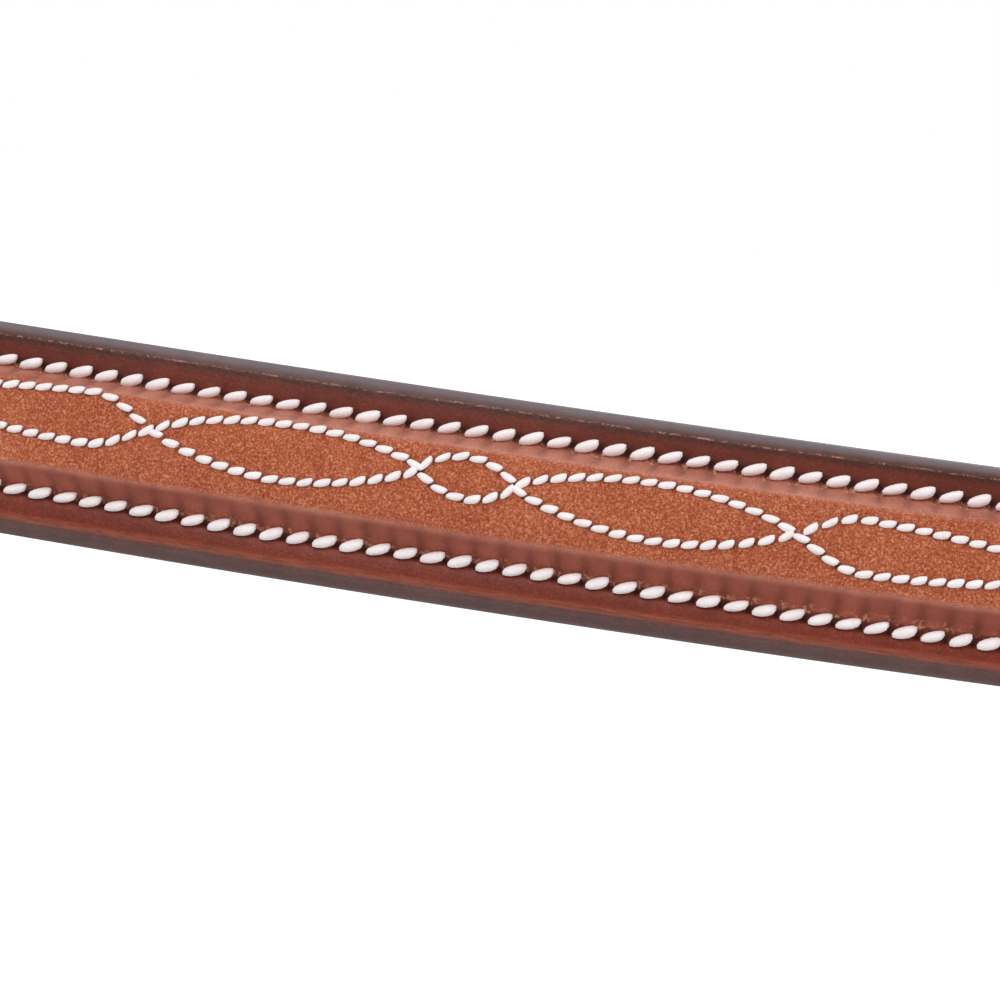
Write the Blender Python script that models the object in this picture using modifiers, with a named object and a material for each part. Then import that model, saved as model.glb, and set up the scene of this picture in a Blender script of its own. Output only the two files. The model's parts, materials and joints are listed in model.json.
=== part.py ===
"""A hunter bridle, modelled as it hangs from the flat of its crown.

The headpiece lies over the poll and splits into cheek and throat billets. A raised, padded browband
rides on them in its end loops. The cheekpieces, the throatlatch and the noseband hanger buckle to the
billets, and the raised cavesson noseband tilts in the slots that its hanger passes through.

Metres, +Z up, the forehead towards -Y, the near (left) side of the horse towards -X. The origin is where
the bridle rests on the poll: on the flat underside of the noseband hanger, which runs under the crown.
"""

from math import acos, asin, cos, degrees, pi, radians, sin

import bmesh
import bpy
from mathutils import Matrix, Vector

MM = 0.001

# Leather thicknesses, and the gap where two pieces touch
SEAT = 0.3 * MM
STRAP_THICKNESS = 2.5 * MM
LINING_THICKNESS = 2.0 * MM
FACE_THICKNESS = 1.3 * MM
KEEPER_THICKNESS = 1.5 * MM
EDGE_CHAMFER = 0.5 * MM

# Strap widths
CHEEK_WIDTH = 16.0 * MM
NARROW_WIDTH = 12.7 * MM
KEEPER_WIDTH = 8.0 * MM

# Crown: flat over the poll, then round to the side straps
CROWN_HALF_SPAN = 95.0 * MM
POLL_FLAT_HALF = 18.0 * MM
POLL_SWELL = 3.5 * MM
SPLIT_GAP = 3.8 * MM
SPLIT_DROP = 50.0 * MM
SPLIT_HOLE_RADIUS = 2.6 * MM

# Heights of the buckles' heel bars, and of the two bands, below the poll
CHEEK_BUCKLE_DROP = 215.0 * MM
THROAT_BUCKLE_DROP = 150.0 * MM
HANGER_BUCKLE_DROP = 258.0 * MM
BROWBAND_DROP = 97.0 * MM
NOSEBAND_DROP = 340.0 * MM

# Square buckles of round wire, and their tongues
BAR_RADIUS = 1.4 * MM
TONGUE_RADIUS = 1.1 * MM
TONGUE_TIP_REACH = 2.4 * MM
TONGUE_WRAP_START = -50.0
TONGUE_WRAP_TURN = -29.0
TONGUE_WRAP_POINTS = 8
TONGUE_SET_SHARE = 2.6
TONGUE_CLIMB_SHARES = (0.35, 0.7, 1.0)
TONGUE_CLIMB_POWER = 1.2
TONGUE_TIP_SHARE = 0.75
FRAME_LENGTH = 19.0 * MM
FRAME_PLAY = 0.4 * MM
FRAME_CORNER = 1.4 * MM
CORNER_MIDDLE_SHARE = 0.6
TONGUE_SLOT_PLAY = 0.5 * MM

# Chapes: the folded strap ends round the heel bars
CHAPE_JOG_RADIUS = 5.0 * MM
CHAPE_TAIL = 30.0 * MM

# Billets, their holes and their points
BILLET_TAIL = 46.0 * MM
HOLE_HALF_WIDTH = 1.6 * MM
HOLE_HALF_LENGTH = 3.3 * MM
HOLE_RISE = 4.2 * MM
HOLE_PITCH = 17.0 * MM
POINT_LENGTH = 9.0 * MM
POINT_NOSE_SHARE = 0.3
POINT_SHARES = (0.4, 0.75, 1.0)

# Keepers beside a buckle, measured along the strap from its heel bar
FIXED_KEEPER_SET = 9.0 * MM
RUNNER_SET = 23.0 * MM

# Bit ends of the cheekpieces
BIT_BILLET_DROP = 352.0 * MM
CHEEK_END_DROP = 408.0 * MM
BIT_LOOP_RADIUS = 4.5 * MM
BIT_SEAT_FLAT = 5.0 * MM
BIT_LOOP_DROP = 450.0 * MM
BIT_RETURN_DROP = 366.0 * MM
BIT_JOG_RADIUS = 12.0 * MM
BIT_KEEPER_UPPER_DROP = 375.0 * MM
BIT_KEEPER_LOWER_DROP = 411.0 * MM
STUD_DROP = 396.0 * MM
STUD_RADIUS = 1.5 * MM
STUD_BASE_RADIUS = 3.6 * MM
STUD_BASE_THICKNESS = 0.8 * MM
STUD_HOOK_DROP = 4.0 * MM
STUD_PLAY = 0.4 * MM
STUD_TIP_SHARE = 0.8

# Browband: its loops, its bend and its raised part
BROWBAND_WIDTH = 19.0 * MM
BROWBAND_FRONT_RADIUS = 300.0 * MM
BROWBAND_TEMPLE_RADIUS = 45.0 * MM
BROWBAND_REACH = 104.0 * MM
BROWBAND_LEAN = 16.0
BROWBAND_LEAN_FADE = 64.0 * MM
LOOP_JOG_RADIUS = 8.0 * MM
LOOP_PLAY = 1.0 * MM
LOOP_TAIL = 13.0 * MM
BROWBAND_RAISE_HALF = 5.4 * MM
BROWBAND_RAISE_HEIGHT = 3.0 * MM
BROWBAND_RAISED_HALF_LENGTH = 104.0 * MM
BROWBAND_FACE_HALF_LENGTH = 132.0 * MM

# Noseband: the raised nosepiece, its slots and the jaw straps
NOSEBAND_WIDTH = 25.4 * MM
NOSEBAND_END_WIDTH = 19.0 * MM
NOSEBAND_FRONT_RADIUS = 100.0 * MM
NOSEBAND_CORNER_RADIUS = 40.0 * MM
NOSEBAND_REACH = 92.0 * MM
NOSEBAND_BEHIND_HANGER = 38.0 * MM
NOSEBAND_NARROWING_SHARE = 0.4
NOSEBAND_RAISE_HALF = 7.6 * MM
NOSEBAND_RAISE_HEIGHT = 3.4 * MM
NOSEBAND_RAISED_HALF_LENGTH = 90.0 * MM
NOSEBAND_FACE_HALF_LENGTH = 116.0 * MM
SLOT_SIDE_PLAY = 1.2 * MM
SLOT_EDGE_PLAY = 1.25 * MM
SLOT_TOP_WALL = 4.5 * MM
JAW_WIDTH = 16.0 * MM
JAW_OVERLAP = 26.0 * MM
JAW_CORNER_RADIUS = 34.0 * MM
JAW_BACK = 107.5 * MM
JAW_BUCKLE_OFFSET = 12.0 * MM

# Noseband hanger: it runs under the crown and then steps in behind the cheekpieces
HANGER_STEP_DROP = 122.0 * MM
HANGER_STEP_IN = 17.0 * MM
HANGER_STEP_RADIUS = 60.0 * MM
HANGER_TAIL = 22.0 * MM
HANGER_EDGE_CLEAR = 2.0 * MM
HANGER_JOG_RADIUS = 6.0 * MM

# Throatlatch: a loop that hangs behind the cheekpieces
THROAT_RUN_DROP = 350.0 * MM

# One overrun for every cutter, the distance at which points are one, and the least edge kept sharp
CUTTER_OVERRUN = 4.0 * MM
WELD_DISTANCE = 0.03 * MM
SHARP_ANGLE = 40.0

# How the raised parts are rounded and run out
CROWN_POWER = 2.6
RAISE_SHARES = (-1.0, -0.9, -0.55, 0.0, 0.55, 0.9, 1.0)
TAPER_SHARE = 0.16
NARROWEST_SHARE = 0.36
CORE_SHORT_SHARE = 0.4
FACE_END_SHARE = 0.85
CORE_FOOT_SHARE = 0.14

# Facet counts
ARCH_STEPS = 10
BEND_STEPS = 6
JOG_STEPS = 2
FRONT_STEPS = 8
CORNER_STEPS = 6
TEMPLE_STEPS = 11
STRAIGHT_STEPS = 5
TAPER_STEPS = 4
HOLE_SIDES = 8
CORNER_POINTS = 3

# Places that follow from the sizes above
CHEEK_Y = 0.0
CROWN_WIDTH = CHEEK_WIDTH + NARROW_WIDTH + SPLIT_GAP
CROWN_Y = CHEEK_Y + (CROWN_WIDTH - CHEEK_WIDTH) / 2
THROAT_Y = CROWN_Y + (CROWN_WIDTH - NARROW_WIDTH) / 2
SPLIT_Y = CROWN_Y - CROWN_WIDTH / 2 + CHEEK_WIDTH + SPLIT_GAP / 2
ARCH_RADIUS = CROWN_HALF_SPAN - POLL_FLAT_HALF
CHAPE_RADIUS = BAR_RADIUS + SEAT + STRAP_THICKNESS / 2
BILLET_OUT = BAR_RADIUS + 2 * SEAT + STRAP_THICKNESS * 1.5
FAR_BAR_OUT = BILLET_OUT + STRAP_THICKNESS / 2 + SEAT + BAR_RADIUS
LAYER = STRAP_THICKNESS + SEAT
ARCH_DROP = ARCH_RADIUS - LAYER
SIDE_BAR_X = CROWN_HALF_SPAN + STRAP_THICKNESS / 2 - BILLET_OUT
HANGER_X = CROWN_HALF_SPAN - SEAT - STRAP_THICKNESS / 2
HANGER_BILLET_X = HANGER_X - HANGER_STEP_IN
HANGER_LOW_X = HANGER_BILLET_X - LAYER
HANGER_BAR_X = HANGER_BILLET_X - BILLET_OUT
NOSEBAND_INNER_X = HANGER_LOW_X - STRAP_THICKNESS / 2 - SEAT - LINING_THICKNESS
SLOT_FOLD_RADIUS = (LINING_THICKNESS + 2 * SEAT + STRAP_THICKNESS) / 2
SLOT_HALF_HEIGHT = STRAP_THICKNESS / 2 + SLOT_EDGE_PLAY
SLOT_DROP = NOSEBAND_DROP - NOSEBAND_END_WIDTH / 2 + SLOT_TOP_WALL + SLOT_HALF_HEIGHT
JAW_X = NOSEBAND_INNER_X - SEAT - STRAP_THICKNESS / 2
FACE_LIFT = LINING_THICKNESS / 2 + SEAT
JAW_BACK_Y = CHEEK_Y + JAW_BACK


class Route:
    """A strap's middle line in a plane, drawn as straight runs and round bends."""

    def __init__(self, right, up, heading):
        self.point = Vector((right, up))
        self.heading = radians(heading)
        self.length = 0.0
        self.stations = [(self.point.copy(), self.heading, self.length)]

    def mark(self, step):
        self.length += step
        self.stations.append((self.point.copy(), self.heading, self.length))

    def run(self, length, steps=1):
        for _ in range(steps):
            self.point = self.point + Vector((cos(self.heading), sin(self.heading))) * (length / steps)
            self.mark(length / steps)
        return self

    def bend(self, radius, angle, steps=BEND_STEPS):
        """Turn by an angle in degrees, to the left where it is positive."""
        side = 1 if angle > 0 else -1
        turn = radians(angle) / steps
        centre = self.point + Vector((-sin(self.heading), cos(self.heading))) * (side * radius)
        for _ in range(steps):
            self.heading += turn
            self.point = centre + Vector((sin(self.heading), -cos(self.heading))) * (side * radius)
            self.mark(abs(turn) * radius)
        return self

    def jog(self, offset, radius):
        """Step sideways, to the left where the offset is positive, by two opposite bends."""
        angle = degrees(acos(1 - abs(offset) / (2 * radius)))
        side = 1 if offset > 0 else -1
        self.bend(radius, side * angle, JOG_STEPS)
        return self.bend(radius, -side * angle, JOG_STEPS)

    def point_start(self):
        """Start at a point, with a station at each change of its width."""
        return self.run(POINT_LENGTH, len(POINT_SHARES))

    def point_end(self, length):
        """Run out to a billet's point, with a station at each change of its width."""
        before = 0.0
        self.run(length - POINT_LENGTH)
        for share in POINT_SHARES:
            self.run((share - before) * POINT_LENGTH)
            before = share
        return self


def jog_length(offset, radius):
    """How far a jog carries a route forwards."""
    return 2 * radius * sin(acos(1 - abs(offset) / (2 * radius)))


class Plane:
    """Where a route's plane lies; its third axis runs across the strap, and its section may lean in."""

    def __init__(self, origin, right, up, lean_at=lambda length: 0.0):
        self.origin = Vector(origin)
        self.right = Vector(right)
        self.up = Vector(up)
        self.across = self.right.cross(self.up)
        self.lean_at = lean_at

    def place(self, station, across, outwards):
        """A point of the section at a station; outwards is to the right of the route's heading."""
        point, heading, length = station
        lean = self.lean_at(length)
        side = self.right * sin(heading) - self.up * cos(heading)
        middle = self.origin + self.right * point.x + self.up * point.y
        middle += self.across * (across * cos(lean) + outwards * sin(lean))
        return middle + side * (outwards * cos(lean) - across * sin(lean))


def material(name, colour, roughness, metallic=0.0):
    """A Principled material with one colour."""
    made = bpy.data.materials.new(name)
    made.use_nodes = True
    shader = made.node_tree.nodes["Principled BSDF"]
    shader.inputs["Base Color"].default_value = (*colour, 1.0)
    shader.inputs["Roughness"].default_value = roughness
    shader.inputs["Metallic"].default_value = metallic
    return made


def strap_leather(name):
    return material(name, (0.115, 0.042, 0.022), 0.42)


def raised_leather(name):
    return material(name, (0.36, 0.14, 0.06), 0.5)


def lining_leather(name):
    return material(name, (0.16, 0.06, 0.032), 0.55)


def steel(name):
    return material(name, (0.62, 0.61, 0.59), 0.24, 1.0)


def smooth(mesh):
    """Shade round sides smooth and keep the edges sharp."""
    mesh.shade_smooth()
    mesh.set_sharp_from_angle(angle=radians(SHARP_ANGLE))


def add_part(name, mesh, finish, frame=None):
    """Put a mesh in the bridle's collection as one named piece."""
    made = bpy.data.objects.new(name, mesh)
    bpy.data.collections["hunter_bridle"].objects.link(made)
    if mesh.users == 1:
        mesh.materials.append(finish(name))
    if frame is not None:
        made.matrix_world = frame
    return made


def swept_mesh(name, rings, open_start=False):
    """A closed body: the first ring's face is extruded from ring to ring."""
    shape = bmesh.new()
    first = [shape.verts.new(point) for point in rings[0]]
    face = shape.faces.new(first)
    for ring in rings[1:]:
        face = bmesh.ops.extrude_discrete_faces(shape, faces=[face])["faces"][0]
        for corner, point in zip(face.verts, ring):
            corner.co = point
    if not open_start:
        shape.faces.new(list(reversed(first)))
    bmesh.ops.recalc_face_normals(shape, faces=shape.faces)
    mesh = bpy.data.meshes.new(name)
    shape.to_mesh(mesh)
    shape.free()
    smooth(mesh)
    return mesh


def mirror_halves(made):
    """The other half of a piece that is open at X = 0."""
    mirror = made.modifiers.new("other_half", 'MIRROR')
    mirror.use_axis = (True, False, False)
    mirror.merge_threshold = WELD_DISTANCE


def lining_ring(plane, station, width):
    """A thin lining's section: a plain rectangle, with a point at the middle of each face."""
    edge = width / 2
    half = LINING_THICKNESS / 2
    corners = ((edge, half), (0, half), (-edge, half), (-edge, -half), (0, -half), (edge, -half))
    return [plane.place(station, across, out) for across, out in corners]


def strap_ring(plane, station, width):
    """A strap's section: a rectangle with its edges taken off."""
    edge = width / 2
    half = STRAP_THICKNESS / 2
    corners = [(edge, half - EDGE_CHAMFER), (edge - EDGE_CHAMFER, half)]
    corners += [(-across, out) for across, out in reversed(corners)]
    corners += [(across, -out) for across, out in reversed(corners)]
    return [plane.place(station, across, out) for across, out in corners]


def even_width(width):
    return lambda done, total: width


def pointed_width(width, at_start=False):
    """Full width, but drawn in to a blunt point at the strap's end, or at its start."""
    def at(done, total):
        share = min(1.0, (done if at_start else total - done) / POINT_LENGTH)
        return width * (POINT_NOSE_SHARE + (1 - POINT_NOSE_SHARE) * (1 - (1 - share) ** 2))
    return at


def strap(name, route, plane, width_at, open_start=False):
    """A strap's mesh along its route."""
    total = route.length
    rings = [strap_ring(plane, station, width_at(station[2], total)) for station in route.stations]
    return swept_mesh(name, rings, open_start)


def lining(name, route, plane, width_at):
    """Half a band's lining along its route, open at the middle of the band."""
    total = route.length
    rings = [lining_ring(plane, station, width_at(station[2], total)) for station in route.stations]
    return swept_mesh(name, rings, open_start=True)


def add_cutter(name, mesh, frame=None):
    """A body that is only taken away from another."""
    cutter = bpy.data.objects.new(name, mesh)
    bpy.data.collections["bridle_cutters"].objects.link(cutter)
    cutter.hide_render = True
    cutter.display_type = 'WIRE'
    if frame is not None:
        cutter.matrix_world = frame
    return cutter


def cut(made, cutter):
    """Take a cutter away from a piece."""
    difference = made.modifiers.new(cutter.name, 'BOOLEAN')
    difference.operation = 'DIFFERENCE'
    difference.solver = 'EXACT'
    difference.object = cutter


def boxes_mesh(name, boxes):
    """Separate boxes, each given by its centre and its three sides."""
    shape = bmesh.new()
    for centre, sides in boxes:
        place = Matrix.Translation(centre) @ Matrix.Diagonal((*sides, 1.0))
        bmesh.ops.create_cube(shape, size=1.0, matrix=place)
    mesh = bpy.data.meshes.new(name)
    shape.to_mesh(mesh)
    shape.free()
    return mesh


def holes_mesh(name, holes, depth):
    """Separate punched holes: each has a centre, a turn, a half width and a half length."""
    shape = bmesh.new()
    for centre, turn, half_width, half_length in holes:
        place = Matrix.Translation(centre) @ turn @ Matrix.Diagonal((half_width, half_length, depth, 1.0))
        bmesh.ops.create_cone(shape, cap_ends=True, segments=HOLE_SIDES, radius1=1.0, radius2=1.0,
                              depth=1.0, matrix=place)
    mesh = bpy.data.meshes.new(name)
    shape.to_mesh(mesh)
    shape.free()
    return mesh


def through_side():
    """A hole's turn where it goes through a side strap: across is Y, along is Z."""
    return Matrix(((0, 0, 1, 0), (1, 0, 0, 0), (0, 1, 0, 0), (0, 0, 0, 1)))


def side_frame(side, across, drop, out):
    """A frame on a side strap: its X points out of that side, its Z points up the strap."""
    turn = Matrix.Identity(4) if side > 0 else Matrix.Rotation(pi, 4, 'Z')
    return Matrix.Translation((side * out, across, -drop)) @ turn


def billet_holes(side, out, across, bar_drop, before, after):
    """The punched holes of one billet, with the tongue's own hole between the spare ones."""
    return [((side * out, across, -bar_drop + HOLE_RISE + HOLE_PITCH * step), through_side(),
             HOLE_HALF_WIDTH, HOLE_HALF_LENGTH) for step in range(-before, after + 1)]


def welded_mesh(name, line):
    """A curve's shape as one closed mesh; the curve itself is removed."""
    drawn = bpy.data.objects.new(name, line)
    bpy.context.scene.collection.objects.link(drawn)
    bpy.context.view_layer.update()
    mesh = bpy.data.meshes.new_from_object(drawn.evaluated_get(bpy.context.evaluated_depsgraph_get()))
    bpy.data.objects.remove(drawn)
    bpy.data.curves.remove(line)
    shape = bmesh.new()
    shape.from_mesh(mesh)
    bmesh.ops.remove_doubles(shape, verts=shape.verts, dist=WELD_DISTANCE)
    bmesh.ops.recalc_face_normals(shape, faces=shape.faces)
    shape.to_mesh(mesh)
    shape.free()
    mesh.name = name
    mesh.materials.clear()
    smooth(mesh)
    return mesh


def tube(name, points, radius, cyclic=False, taper_share=1.0, resolution=2):
    """Round wire through points, as one welded mesh."""
    line = bpy.data.curves.new(name, 'CURVE')
    line.dimensions = '3D'
    line.bevel_depth = radius
    line.bevel_resolution = resolution
    line.use_fill_caps = not cyclic
    spline = line.splines.new('POLY')
    spline.points.add(len(points) - 1)
    for node, point in zip(spline.points, points):
        node.co = (*point, 1.0)
    spline.use_cyclic_u = cyclic
    spline.points[-1].radius = taper_share
    return welded_mesh(name, line)


def rounded_corner(corner, towards_start, towards_end, radius):
    """Three points that round a corner of a wire's route."""
    start = corner + (towards_start - corner).normalized() * radius
    end = corner + (towards_end - corner).normalized() * radius
    middle = corner + ((start + end) / 2 - corner) * CORNER_MIDDLE_SHARE
    return [start, middle, end]


def frame_mesh(width):
    """A square buckle's frame round its heel bar at the origin; its far bar stands out past the billet."""
    half = width / 2 + FRAME_PLAY + BAR_RADIUS
    heel = [Vector((0, -half, 0)), Vector((0, half, 0))]
    far = [Vector((FAR_BAR_OUT, half, FRAME_LENGTH)), Vector((FAR_BAR_OUT, -half, FRAME_LENGTH))]
    corners = heel + far
    points = []
    for number, corner in enumerate(corners):
        points += rounded_corner(corner, corners[number - 1], corners[(number + 1) % 4], FRAME_CORNER)
    return tube("buckle_frame", points, BAR_RADIUS, cyclic=True)


def tongue_mesh():
    """A buckle's tongue: it wraps the heel bar, passes the billet's hole and rests on the far bar."""
    wrap = BAR_RADIUS + SEAT + TONGUE_RADIUS
    inner = BILLET_OUT - STRAP_THICKNESS / 2
    outer = BILLET_OUT + STRAP_THICKNESS / 2 + SEAT + TONGUE_RADIUS
    rest = FAR_BAR_OUT + BAR_RADIUS + SEAT + TONGUE_RADIUS
    line = []
    for step in range(TONGUE_WRAP_POINTS):
        angle = radians(TONGUE_WRAP_START + TONGUE_WRAP_TURN * step)
        line.append((wrap * cos(angle), wrap * sin(angle)))
    line += [(inner - TONGUE_RADIUS, HOLE_RISE - TONGUE_RADIUS), (BILLET_OUT, HOLE_RISE)]
    set_down = HOLE_RISE + TONGUE_SET_SHARE * TONGUE_RADIUS
    line.append((outer, set_down))
    for share in TONGUE_CLIMB_SHARES:
        out = outer + (rest - outer) * share ** TONGUE_CLIMB_POWER
        line.append((out, set_down + (FRAME_LENGTH - set_down) * share))
    line.append((rest, FRAME_LENGTH + TONGUE_TIP_REACH))
    return tube("buckle_tongue", [(out, 0, along) for out, along in line], TONGUE_RADIUS,
                taper_share=TONGUE_TIP_SHARE, resolution=1)


def add_buckle(name, width, frame):
    """A buckle's two pieces, both turning about the heel bar at the frame's origin."""
    add_part(name + "_buckle_frame", frame_mesh(width), steel, frame)
    add_part(name + "_buckle_tongue", tongue_mesh(), steel, frame)


def rounded_outline(low, high, half, radius):
    """A rectangle's outline with round corners, anticlockwise."""
    points = []
    corners = ((high - radius, half - radius), (low + radius, half - radius),
               (low + radius, radius - half), (high - radius, radius - half))
    for number, corner in enumerate(corners):
        for step in range(CORNER_POINTS):
            angle = pi / 2 * (number + step / (CORNER_POINTS - 1))
            points.append((corner[0] + radius * cos(angle), corner[1] + radius * sin(angle)))
    return points


def keeper_mesh(width, inner, outer):
    """A leather loop round the layers of a strap, centred on its own length."""
    line = bpy.data.curves.new("keeper", 'CURVE')
    line.dimensions = '2D'
    line.fill_mode = 'BOTH'
    line.extrude = KEEPER_WIDTH / 2
    for wall in (SEAT, SEAT + KEEPER_THICKNESS):
        spline = line.splines.new('POLY')
        points = rounded_outline(inner - wall, outer + wall, width / 2 + wall, wall)
        spline.points.add(len(points) - 1)
        for node, point in zip(spline.points, points):
            node.co = (*point, 0, 1)
        spline.use_cyclic_u = True
    return welded_mesh("keeper", line)


def add_buckle_keepers(name, width, frame):
    """The sewn keeper against the buckle, and the runner that slides along the strap."""
    inner = CHAPE_RADIUS - LAYER - STRAP_THICKNESS / 2
    outer = BILLET_OUT + STRAP_THICKNESS / 2
    for kind, distance in (("fixed_keeper", FIXED_KEEPER_SET), ("runner_keeper", RUNNER_SET)):
        place = Matrix.Translation((0, 0, -distance - KEEPER_WIDTH / 2))
        add_part(name + "_" + kind, keeper_mesh(width, inner, outer), strap_leather, frame @ place)


def chape(route, turn):
    """Fold a strap's end round the heel bar and back against itself; turn is 1 to the left."""
    closing = 2 * CHAPE_RADIUS - LAYER
    route.bend(CHAPE_RADIUS, turn * 180)
    route.jog(turn * closing, CHAPE_JOG_RADIUS)
    return route.run(CHAPE_TAIL)


def tongue_slot(made, name, frame):
    """The slot that lets the tongue out of a chape's fold."""
    reach = CHAPE_RADIUS + STRAP_THICKNESS / 2
    width = 2 * (TONGUE_RADIUS + TONGUE_SLOT_PLAY)
    sides = (2 * (reach + SEAT), width, 2 * reach + CUTTER_OVERRUN)
    slot = boxes_mesh(name + "_tongue_slot", [((0, 0, CUTTER_OVERRUN / 2), sides)])
    cut(made, add_cutter(name + "_tongue_slot", slot, frame))


def add_crown():
    """The headpiece: one strap over the poll, split at each side into two pointed billets."""
    plane = Plane((0, CROWN_Y, 0), (1, 0, 0), (0, 0, 1))
    middle = ARCH_RADIUS + STRAP_THICKNESS / 2
    length = CHEEK_BUCKLE_DROP + BILLET_TAIL - ARCH_DROP
    route = Route(0, LAYER + STRAP_THICKNESS / 2, 0)
    route.run(POLL_FLAT_HALF).bend(middle, -90, ARCH_STEPS).run(length)

    def width_at(done, total):
        narrowing = min(1.0, done / (POLL_FLAT_HALF + SPLIT_DROP))
        return CROWN_WIDTH + POLL_SWELL * (1 + cos(pi * narrowing)) / 2

    mesh = strap("crownpiece", route, plane, width_at, open_start=True)
    crown = add_part("crownpiece", mesh, strap_leather)
    mirror_halves(crown)
    cut_split(crown)
    cut_points(crown)
    out = CROWN_HALF_SPAN + STRAP_THICKNESS / 2
    holes = []
    for side in (-1, 1):
        holes += billet_holes(side, out, CHEEK_Y, CHEEK_BUCKLE_DROP, 1, 3)
        holes += billet_holes(side, out, THROAT_Y, THROAT_BUCKLE_DROP, 1, 1)
    depth = STRAP_THICKNESS + CUTTER_OVERRUN
    cut(crown, add_cutter("billet_holes", holes_mesh("billet_holes", holes, depth)))


def cut_split(crown):
    """Part the billets from each other, below a round stop hole."""
    low = CHEEK_BUCKLE_DROP + BILLET_TAIL + CUTTER_OVERRUN
    high = SPLIT_DROP
    width = CROWN_HALF_SPAN - POLL_FLAT_HALF
    boxes = []
    holes = []
    for side in (-1, 1):
        middle = side * (POLL_FLAT_HALF + width / 2 + CUTTER_OVERRUN)
        boxes.append(((middle, SPLIT_Y, -(low + high) / 2), (width, SPLIT_GAP, low - high)))
        holes.append(((middle, SPLIT_Y, -high), through_side(), SPLIT_HOLE_RADIUS, SPLIT_HOLE_RADIUS))
    cut(crown, add_cutter("split", boxes_mesh("split", boxes)))
    cut(crown, add_cutter("split_stop", holes_mesh("split_stop", holes, width)))


def cut_points(crown):
    """Trim each billet to its length and draw it in to a blunt point."""
    shape = bmesh.new()
    bottom = -(CHEEK_BUCKLE_DROP + BILLET_TAIL) - CUTTER_OVERRUN
    ends = ((CHEEK_Y, CHEEK_WIDTH, CHEEK_BUCKLE_DROP), (THROAT_Y, NARROW_WIDTH, THROAT_BUCKLE_DROP))
    for side in (-1, 1):
        for across, width, drop in ends:
            tip = -(drop + BILLET_TAIL)
            reach = width / 2 + SPLIT_GAP / 2
            outline = [(reach, bottom), (reach, tip + POINT_LENGTH)]
            for share in POINT_SHARES:
                drawn = POINT_NOSE_SHARE + (1 - POINT_NOSE_SHARE) * (1 - share ** 2)
                outline.append((width / 2 * drawn, tip + POINT_LENGTH * (1 - share)))
            outline += [(-y, z) for y, z in reversed(outline)]
            near = CROWN_HALF_SPAN - CUTTER_OVERRUN
            far = CROWN_HALF_SPAN + STRAP_THICKNESS + CUTTER_OVERRUN
            wall = shape.faces.new([shape.verts.new((side * near, across + y, z)) for y, z in outline])
            grown = bmesh.ops.extrude_face_region(shape, geom=[wall])["geom"]
            moved = [item for item in grown if isinstance(item, bmesh.types.BMVert)]
            bmesh.ops.translate(shape, verts=moved, vec=(side * (far - near), 0, 0))
    bmesh.ops.recalc_face_normals(shape, faces=shape.faces)
    mesh = bpy.data.meshes.new("billet_points")
    shape.to_mesh(mesh)
    shape.free()
    cut(crown, add_cutter("billet_points", mesh))


def add_cheekpieces():
    """Both cheekpieces, each folded round its buckle at the top and sewn to a bit billet below."""
    plane = Plane((0, 0, 0), (1, 0, 0), (0, 0, 1))
    length = CHEEK_END_DROP - CHEEK_BUCKLE_DROP
    route = Route(CHAPE_RADIUS, -length, 90).point_start().run(length - POINT_LENGTH)
    chape(route, 1)
    for side, name in ((-1, "near_cheek"), (1, "off_cheek")):
        frame = side_frame(side, CHEEK_Y, CHEEK_BUCKLE_DROP, SIDE_BAR_X)
        mesh = strap(name + "piece", route, plane, pointed_width(CHEEK_WIDTH, at_start=True))
        tongue_slot(add_part(name + "piece", mesh, strap_leather, frame), name, frame)
        add_buckle(name, CHEEK_WIDTH, frame)
        add_buckle_keepers(name, CHEEK_WIDTH, frame)
        add_bit_end(name, frame)


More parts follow.
